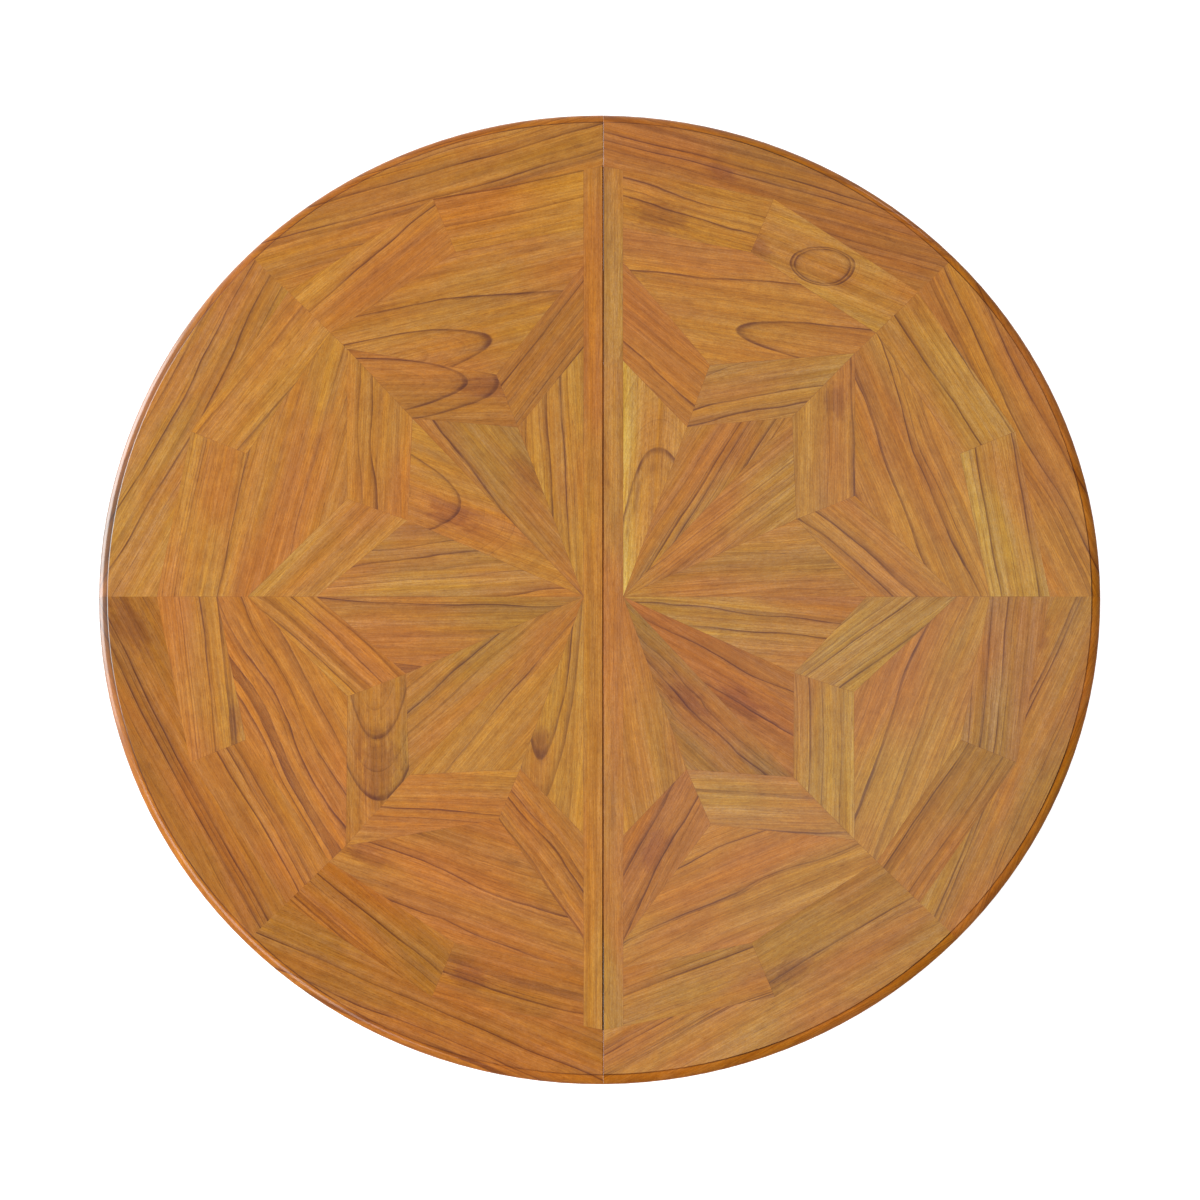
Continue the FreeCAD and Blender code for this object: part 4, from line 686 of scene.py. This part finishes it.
# The plan of each veneer in a node: the outlines of its faces at the table's top
def top_outlines(node):
    graph = bmesh.new()
    graph.from_mesh(nodes[node].data)
    left = {face for face in graph.faces if face.calc_center_median().z > TOP - OFF_TOP}
    outlines = []
    while left:
        patch = set()
        stack = [left.pop()]
        while stack:
            face = stack.pop()
            patch.add(face)
            for edge in face.edges:
                for other in edge.link_faces:
                    if other in left:
                        left.remove(other)
                        stack.append(other)
        onward = {}
        for face in patch:
            for loop in face.loops:
                if not any(f is not face and f in patch for f in loop.edge.link_faces):
                    onward[loop.vert.index] = (loop.link_loop_next.vert.index, loop.vert.co.copy())
        start = min(onward)
        at, spot = onward[start]
        spots = [spot]
        while at != start:
            at, spot = onward[at]
            spots.append(spot)
        outlines.append(spots)
    graph.free()
    return outlines


# Each corner of an outline with the next one
def edges_of(spots):
    return list(zip(spots, spots[1:] + spots[:1]))


def middle_of(spots):
    area, x, y = 0.0, 0.0, 0.0
    for a, b in edges_of(spots):
        part = a.x * b.y - b.x * a.y
        area += part
        x += (a.x + b.x) * part
        y += (a.y + b.y) * part
    return Vector((x / (3 * area), y / (3 * area), TOP))


def plan_angle(spot, side):
    return math.degrees(math.atan2(spot.y, side * (spot.x - SEAM_X)))


def longest_run(spots):
    run = max([b - a for a, b in edges_of(spots)], key=lambda r: r.length)
    return math.atan2(run.y, run.x)


def at_seam(*spots):
    return all(abs(spot.x - SEAM_X) < AT_SEAM for spot in spots)


# An outline moved inwards, edge by edge. A corner between two edges in line stays between them
def inset(spots, distance, side):
    in_line = 0.02
    lines = []
    for start, end in edges_of(spots):
        run = (end - start).normalized()
        gap = SEAM_EASE[side] if at_seam(start, end) else distance
        lines.append((start + gap * Vector((-run.y, run.x, 0)), run))
    moved = []
    for k, (start, run) in enumerate(lines):
        before, before_run = lines[k - 1]
        cross = before_run.x * run.y - before_run.y * run.x
        if abs(cross) < in_line:
            moved.append(start.copy())
            continue
        offset = start - before
        moved.append(before + before_run * ((offset.x * run.y - offset.y * run.x) / cross))
    return moved


# Veneers are plain prisms. A fine dark arris round each shows the joints; at the seam the arris is
# deeper and its dark tone is painted shade in the gap between the halves
def lay_veneers(half, kind, slot_name):
    node = f"{half}_{kind}"
    side = SIDES[half]
    outlines = sorted(top_outlines(node), key=lambda spots: -plan_angle(middle_of(spots), side))
    board = Board()
    for number, spots in enumerate(outlines):
        laying = laying_of(node, number, spots)
        seed = FIRST_SEED + number * PIECE_SEED + (side + 1) * HALF_SEED + len(node) * NAME_SEED
        for spot in spots:
            if at_seam(spot):
                spot.x = SEAM_X + side * SEAM_GAP
        inner = [(p.x, p.y, TOP) for p in inset(spots, ARRIS, side)]
        drops = [SEAM_EASE[side] if at_seam(p) else ARRIS_DEPTH * ARRIS for p in spots]
        edge = [(p.x, p.y, TOP - drop) for p, drop in zip(spots, drops)]
        under = [(p.x, p.y, TOP - VENEER) for p in spots]
        count = len(spots)
        around = [(k, (k + 1) % count) for k in range(count)]
        base = [[count + k for k in reversed(range(count))]]
        walls = [[k, count + k, count + after, after] for k, after in around]
        board.take(inner, [list(range(count))], laying, seed)
        board.take(edge + under, base + walls, laying, seed)
        for k, after in around:
            tone = SEAM_SHADE if at_seam(spots[k], spots[after]) else JOINT
            corners = [inner[k], edge[k], edge[after], inner[after]]
            board.take(corners, [[0, 1, 2, 3]], laying, seed, tone)
    board.finish("dressed_" + node, "top_" + half, node, slot_name, EASED_SHARP)


# A solid whose own mesh is kept, with figure laid over it piece by piece. Corners that meet are one
def dress(half, kind, slot_name, number_of, layings, seed):
    digits = 7
    node = f"{half}_{kind}"
    source = nodes[node].data
    places = [tuple(round(part, digits) for part in spot.co) for spot in source.vertices]
    board = Board()
    for number, laying in enumerate(layings):
        order = {}
        faces = []
        for face in source.polygons:
            if number_of(face.center) == number:
                ring = [order.setdefault(places[k], len(order)) for k in face.vertices]
                if len(set(ring)) > 2:
                    faces.append(ring)
        board.take(list(order), faces, laying, seed + number * PART_SEED)
    return board.finish("dressed_" + node, "top_" + half, node, slot_name, SHARP)


# Edges are eased, and the eased faces are painted dark: painted shade in the seam and at the rim's step.
# chosen says whether a place is at the edge, within its own distance or a given one
def ease(graph, chosen, width, tone, polish=None):
    upper = [edge for edge in graph.edges
             if edge.is_manifold and all(chosen(spot.co) for spot in edge.verts)]
    made = bmesh.ops.bevel(graph, geom=upper, offset=width, segments=1, affect="EDGES",
                           clamp_overlap=False)
    border = {edge for face in made["faces"] for edge in face.edges}
    bmesh.ops.split_edges(graph, edges=list(border))
    layer = graph.verts.layers.float_color["tone"]
    gloss = graph.verts.layers.float_vector["accents"]
    low, high = EASED_SLOPE
    for face in graph.faces:
        near = all(chosen(spot.co, width * EASE_REACH) for spot in face.verts)
        if near and low < face.normal.z < high:
            for spot in face.verts:
                spot[layer] = (*tone, spot[layer][3])
                if polish:
                    spot[gloss].z = polish(spot.co)


# The seam's top edges are eased and painted dark, as painted shade in the gap between the halves
def ease_seam(thing, side):
    def chosen(spot, slack=AT_SEAM):
        return abs(spot.x - SEAM_X) < slack and spot.z > TOP - max(slack, SEAM_DEPTH)

    graph = bmesh.new()
    graph.from_mesh(thing.data)
    for spot in graph.verts:
        if at_seam(spot.co):
            spot.co.x = SEAM_X + side * SEAM_GAP
    ease(graph, chosen, SEAM_EASE[side], SEAM_SHADE)
    graph.to_mesh(thing.data)
    graph.free()
    thing.data.set_sharp_from_angle(angle=math.radians(EASED_SHARP))


# The polish at an angle round the rim, between the angles that are given
def polish_at(turn, steps):
    for (start, first), (end, last) in zip(steps, steps[1:]):
        if turn >= end:
            return last + (first - last) * (turn - end) / (start - end)
    return steps[-1][1]


# The moulded rim is darker than the field. The step's foot and eased edge are painted dark, as painted
# shade, and the rim's tone is painted darker as painted shade where its polish is thickest, under the
# window's glare
def stain_rim(thing, steps):
    def polish_here(place):
        return polish_at(math.degrees(math.atan2(place.y, abs(place.x - SEAM_X))), steps)

    def chosen(spot, slack=AT_STEP):
        return abs(math.hypot(spot.x, spot.y) - FIELD_RADIUS) < slack and spot.z > TOP - slack

    graph = bmesh.new()
    graph.from_mesh(thing.data)
    layer = graph.verts.layers.float_color["tone"]
    gloss = graph.verts.layers.float_vector["accents"]
    for spot in graph.verts:
        radius = math.hypot(spot.co.x, spot.co.y)
        if radius > FIELD_RADIUS - ON_STEP and spot.co.z < TOP - RIM_DEPTH:
            polish = polish_here(spot.co)
            # Painted shade: the rim's tone is darker where its polish is thick, under the window's glare
            shade = 1 - RIM_SHADE * min(1.0, max(0.0, polish - 1))
            # The step's foot takes painted shade, and the rest of the rim its own tone
            tone = STEP_SHADE if radius < FIELD_RADIUS + ON_STEP else [part * shade for part in RIM]
            spot[layer] = (*tone, spot[layer][3])
            spot[gloss].z = polish
    ease(graph, chosen, STEP_EASE, STEP_SHADE, polish_here)
    graph.to_mesh(thing.data)
    graph.free()


# The outer ring's segments are numbered from the back to the front
def segment_of(centre, side):
    number = int((90 - plan_angle(centre, side)) // (180 / SEGMENTS))
    return min(SEGMENTS - 1, max(0, number))


parquet = laid_wood()
VENEER_SLOTS = {"star_points": "star_wood", "star_band": "band_wood", "star_surround": "surround_wood",
                "mid_ring": "board_wood", "seam_strip": "strip_wood"}
for half, side in SIDES.items():
    for kind, slot_name in VENEER_SLOTS.items():
        lay_veneers(half, kind, slot_name)
    layings = [laying_of(f"{half}_outer_ring", number) for number in range(SEGMENTS)]
    ring = dress(half, "outer_ring", "rim_wood", lambda centre: segment_of(centre, side), layings,
                 RING_FIRST_SEED + side)
    stain_rim(ring, RIM_POLISH[half])
    ease_seam(ring, side)
    bent = [BentLaying(("amber", "lines"), side)]
    dress(half, "apron", "apron_wood", lambda centre: 0, bent, APRON_SEED + 3 * side)


# Solids that stay as they are get their own material, with the grain along the piece
def finish_nodes(names, material):
    for name in names:
        for place in nodes[name].material_slots:
            place.material = material


# The nodes of each wood, its name, tone, turn, cut, polish and seed, and how far its pith is moved
woods = [
    (["alignment_dowels", "leg_dowels"], "dowel_wood", PALE_WOOD, ALONG_X, "plain", 0.1, 18),
    (["leaf_upper_panel", "leaf_lower_panel"], "leaf_panel_wood", PANEL_WOOD, ALONG_X, "plain", 0.3, 21),
    (["leaf_upper_boards"], "leaf_board_wood", TONES["amber"], ALONG_Y, "arch", 1.0, 23),
    (["leaf_lower_boards"], "leaf_lower_wood", TONES["honey"], ALONG_Y, "lines", 1.0, 25),
    (["leaf_end_mouldings"], "leaf_end_wood", TONES["orange"], ALONG_X, "lines", 1.0, 27),
    (["top_plate"], "top_plate_wood", STAIN, ALONG_X, "lines", 1.0, 29),
    (["column", "column_pendant"], "column_wood", STAIN, UPRIGHT, "lines", 1.0, 31, (0, 0.16, 0.1)),
]
for half, side in SIDES.items():
    woods += [
        ([f"{half}_core_panel"], f"{half}_panel_wood", PANEL_WOOD, ALONG_Y, "plain", 0.3, 4 + side),
        ([f"{half}_glue_blocks"], f"{half}_block_wood", PALE_WOOD, ALONG_X, "plain", 0.2, 9 + side),
        ([f"{half}_cross_bearer"], f"{half}_bearer_wood", STAIN, ALONG_Y, "lines", 1.0, 12 + side),
    ]
for end, number in (("back", 0), ("front", 1)):
    woods.append(([f"fixed_rail_{end}"], f"{end}_rail_wood", PALE_WOOD, ALONG_X, "lines", 0.4,
                  15 + number))
    for half, side in SIDES.items():
        woods.append(([f"{half}_runner_{end}"], f"{half}_{end}_runner_wood", PALE_WOOD, ALONG_X, "lines",
                      0.4, 6 + side + 3 * number))
# The legs' grain slopes down and outwards, at each leg's own angle round the column
LEG_SLOPE = Euler((0, math.radians(30), 0)).to_matrix()
LEG_ANGLES = {"back_right": 45, "back_left": 135, "front_left": 225, "front_right": 315}
for corner, degrees in LEG_ANGLES.items():
    turn = LEG_SLOPE @ Euler((0, 0, -math.radians(degrees))).to_matrix()
    woods.append(([f"leg_{corner}"], f"leg_{corner}_wood", STAIN, tuple(turn.to_euler()), "lines", 1.0,
                  33 + degrees / 45))
for names, *wood in woods:
    finish_nodes(names, solid_wood(*wood))
finish_nodes(["left_racks", "right_racks", "pinion_front", "pinion_back", "pinion_pins",
              "left_runner_screws", "right_runner_screws", "base_screws", "tie_rod", "tie_rod_nuts"],
             metal("zinc_steel", (0.56, 0.56, 0.57), 0.28, (60.0, 900.0, 900.0)))
finish_nodes(["leaf_hinges", "leaf_hinge_pins", "latch_plates", "keeper_plates", "latch_lever_front",
              "latch_lever_back", "latch_screws", "keeper_screws"],
             metal("satin_brass", (0.70, 0.47, 0.17), 0.24, (900.0, 60.0, 900.0)))
finish_nodes(["felt_pads"], grained("green_felt", 900.0, 3.0, 0.7, FELT_TONES, 0.0004, roughness=0.95,
                                    sheen_weight=0.4))
finish_nodes(["floor_glides"], grained("dark_plastic", 600.0, 2.0, 0.5, PLASTIC_TONES, 0.0001,
                                       roughness=0.5))


# How bright the stage is: white to the camera, through glass and in reflections, and dim as a light.
# walls holds the heights between which the white walls fade into a ceiling that reflections show dim
def white_behind(graph, dim, strength, walls=None):
    path = graph.add("ShaderNodeLightPath").outputs
    seen = graph.larger(path["Is Camera Ray"], path["Is Transmission Ray"])
    mirrored = path["Is Glossy Ray"]
    if walls:
        upward = graph.parts(graph.add("ShaderNodeTexCoord").outputs["Generated"])[2]
        mirrored = graph.times(mirrored, graph.spread(upward, *walls, 1.0, 0.0, "LINEAR"))
    return graph.spread(graph.larger(seen, mirrored), 0.0, 1.0, dim, strength, "LINEAR")


# Stage: a wide pale floor that shows white and keeps the table's shadow. Its glow is as strong as it
# takes to show white, and the sky lights the table dimly
FLOOR_RADIUS = 150.0
FLOOR_DROP = 0.0005
FLOOR_CORNERS = 48
FLOOR_TONE = (0.8, 0.8, 0.8)
FLOOR_GLOW = 0.72
SKY_LIGHT = 0.45
WALL_FADE = (0.55, 0.85)
WHITE = 1.0
turns = [k * math.tau / FLOOR_CORNERS for k in range(FLOOR_CORNERS)]
around = [(FLOOR_RADIUS * math.cos(turn), FLOOR_RADIUS * math.sin(turn), -FLOOR_DROP) for turn in turns]
floor_mesh = bpy.data.meshes.new("floor")
floor_mesh.from_pydata(around, [], [list(range(FLOOR_CORNERS))])
floor = bpy.data.objects.new("floor", floor_mesh)
bpy.context.scene.collection.objects.link(floor)
pale = Paint("pale_floor")
floor_mesh.materials.append(pale.paint(opaque(FLOOR_TONE), roughness=0.9, specular_ior_level=0.0))
glow = pale.add("ShaderNodeEmission", {"Strength": white_behind(pale, 0.0, FLOOR_GLOW)}).outputs[0]
both = pale.add("ShaderNodeAddShader", {0: pale.surface.outputs[0], 1: glow}).outputs[0]
pale.feed(pale.tree.nodes["Material Output"].inputs[0], both)

world = bpy.data.worlds.new("studio")
bpy.context.scene.world = world
world.use_nodes = True
sky = Graph(world.node_tree)
backdrop = world.node_tree.nodes["Background"].inputs
sky.feed(backdrop["Color"], opaque((WHITE, WHITE, WHITE)))
sky.feed(backdrop["Strength"], white_behind(sky, SKY_LIGHT, WHITE, WALL_FADE))


# A lamp with a soft rectangle of light, its sides in metres and its power in watts
def soft_light(name, place, aim, width, depth, power):
    lamp = bpy.data.lights.new(name, "AREA")
    lamp.shape = "RECTANGLE"
    lamp.size = width
    lamp.size_y = depth
    lamp.energy = power
    thing = bpy.data.objects.new(name, lamp)
    bpy.context.scene.collection.objects.link(thing)
    thing.location = place
    thing.rotation_euler = (Vector(aim) - Vector(place)).to_track_quat("-Z", "Y").to_euler()


# A tall window on the left, the room's lamp, a small one behind, and one whose glare veils the right
soft_light("window", (-6.5, 2.5, 3.0), (0, 0, 3.0), 6.0, 5.9, 390)
soft_light("overhead", (-1.6, -0.9, 3.4), (0, 0, TOP), 1.8, 1.8, 83)
soft_light("back_right", (1.65, 3.1, 2.65), (0, 0, TOP), 0.5, 0.5, 14)
soft_light("haze", (0.6, 0.3, 3.75), (0.6, 0.3, TOP), 1.0, 1.3, 1.3)

# The photograph's view: from the front, 75.3 degrees up, with a very long lens
ELEVATION = math.radians(75.3)
DISTANCE = 40.0
WIDTH_SEEN = 1.4376
SENSOR = 36.0
FARTHEST = 500.0
AIM = Vector((0.0005, -0.0042, TOP))
view = bpy.data.cameras.new("view")
view.lens = SENSOR * DISTANCE / WIDTH_SEEN
view.clip_end = FARTHEST
camera = bpy.data.objects.new("view", view)
bpy.context.scene.collection.objects.link(camera)
camera.location = AIM + DISTANCE * Vector((0, -math.cos(ELEVATION), math.sin(ELEVATION)))
camera.rotation_euler = (math.pi / 2 - ELEVATION, 0, 0)
bpy.context.scene.camera = camera
bpy.context.scene.view_settings.view_transform = "Standard"
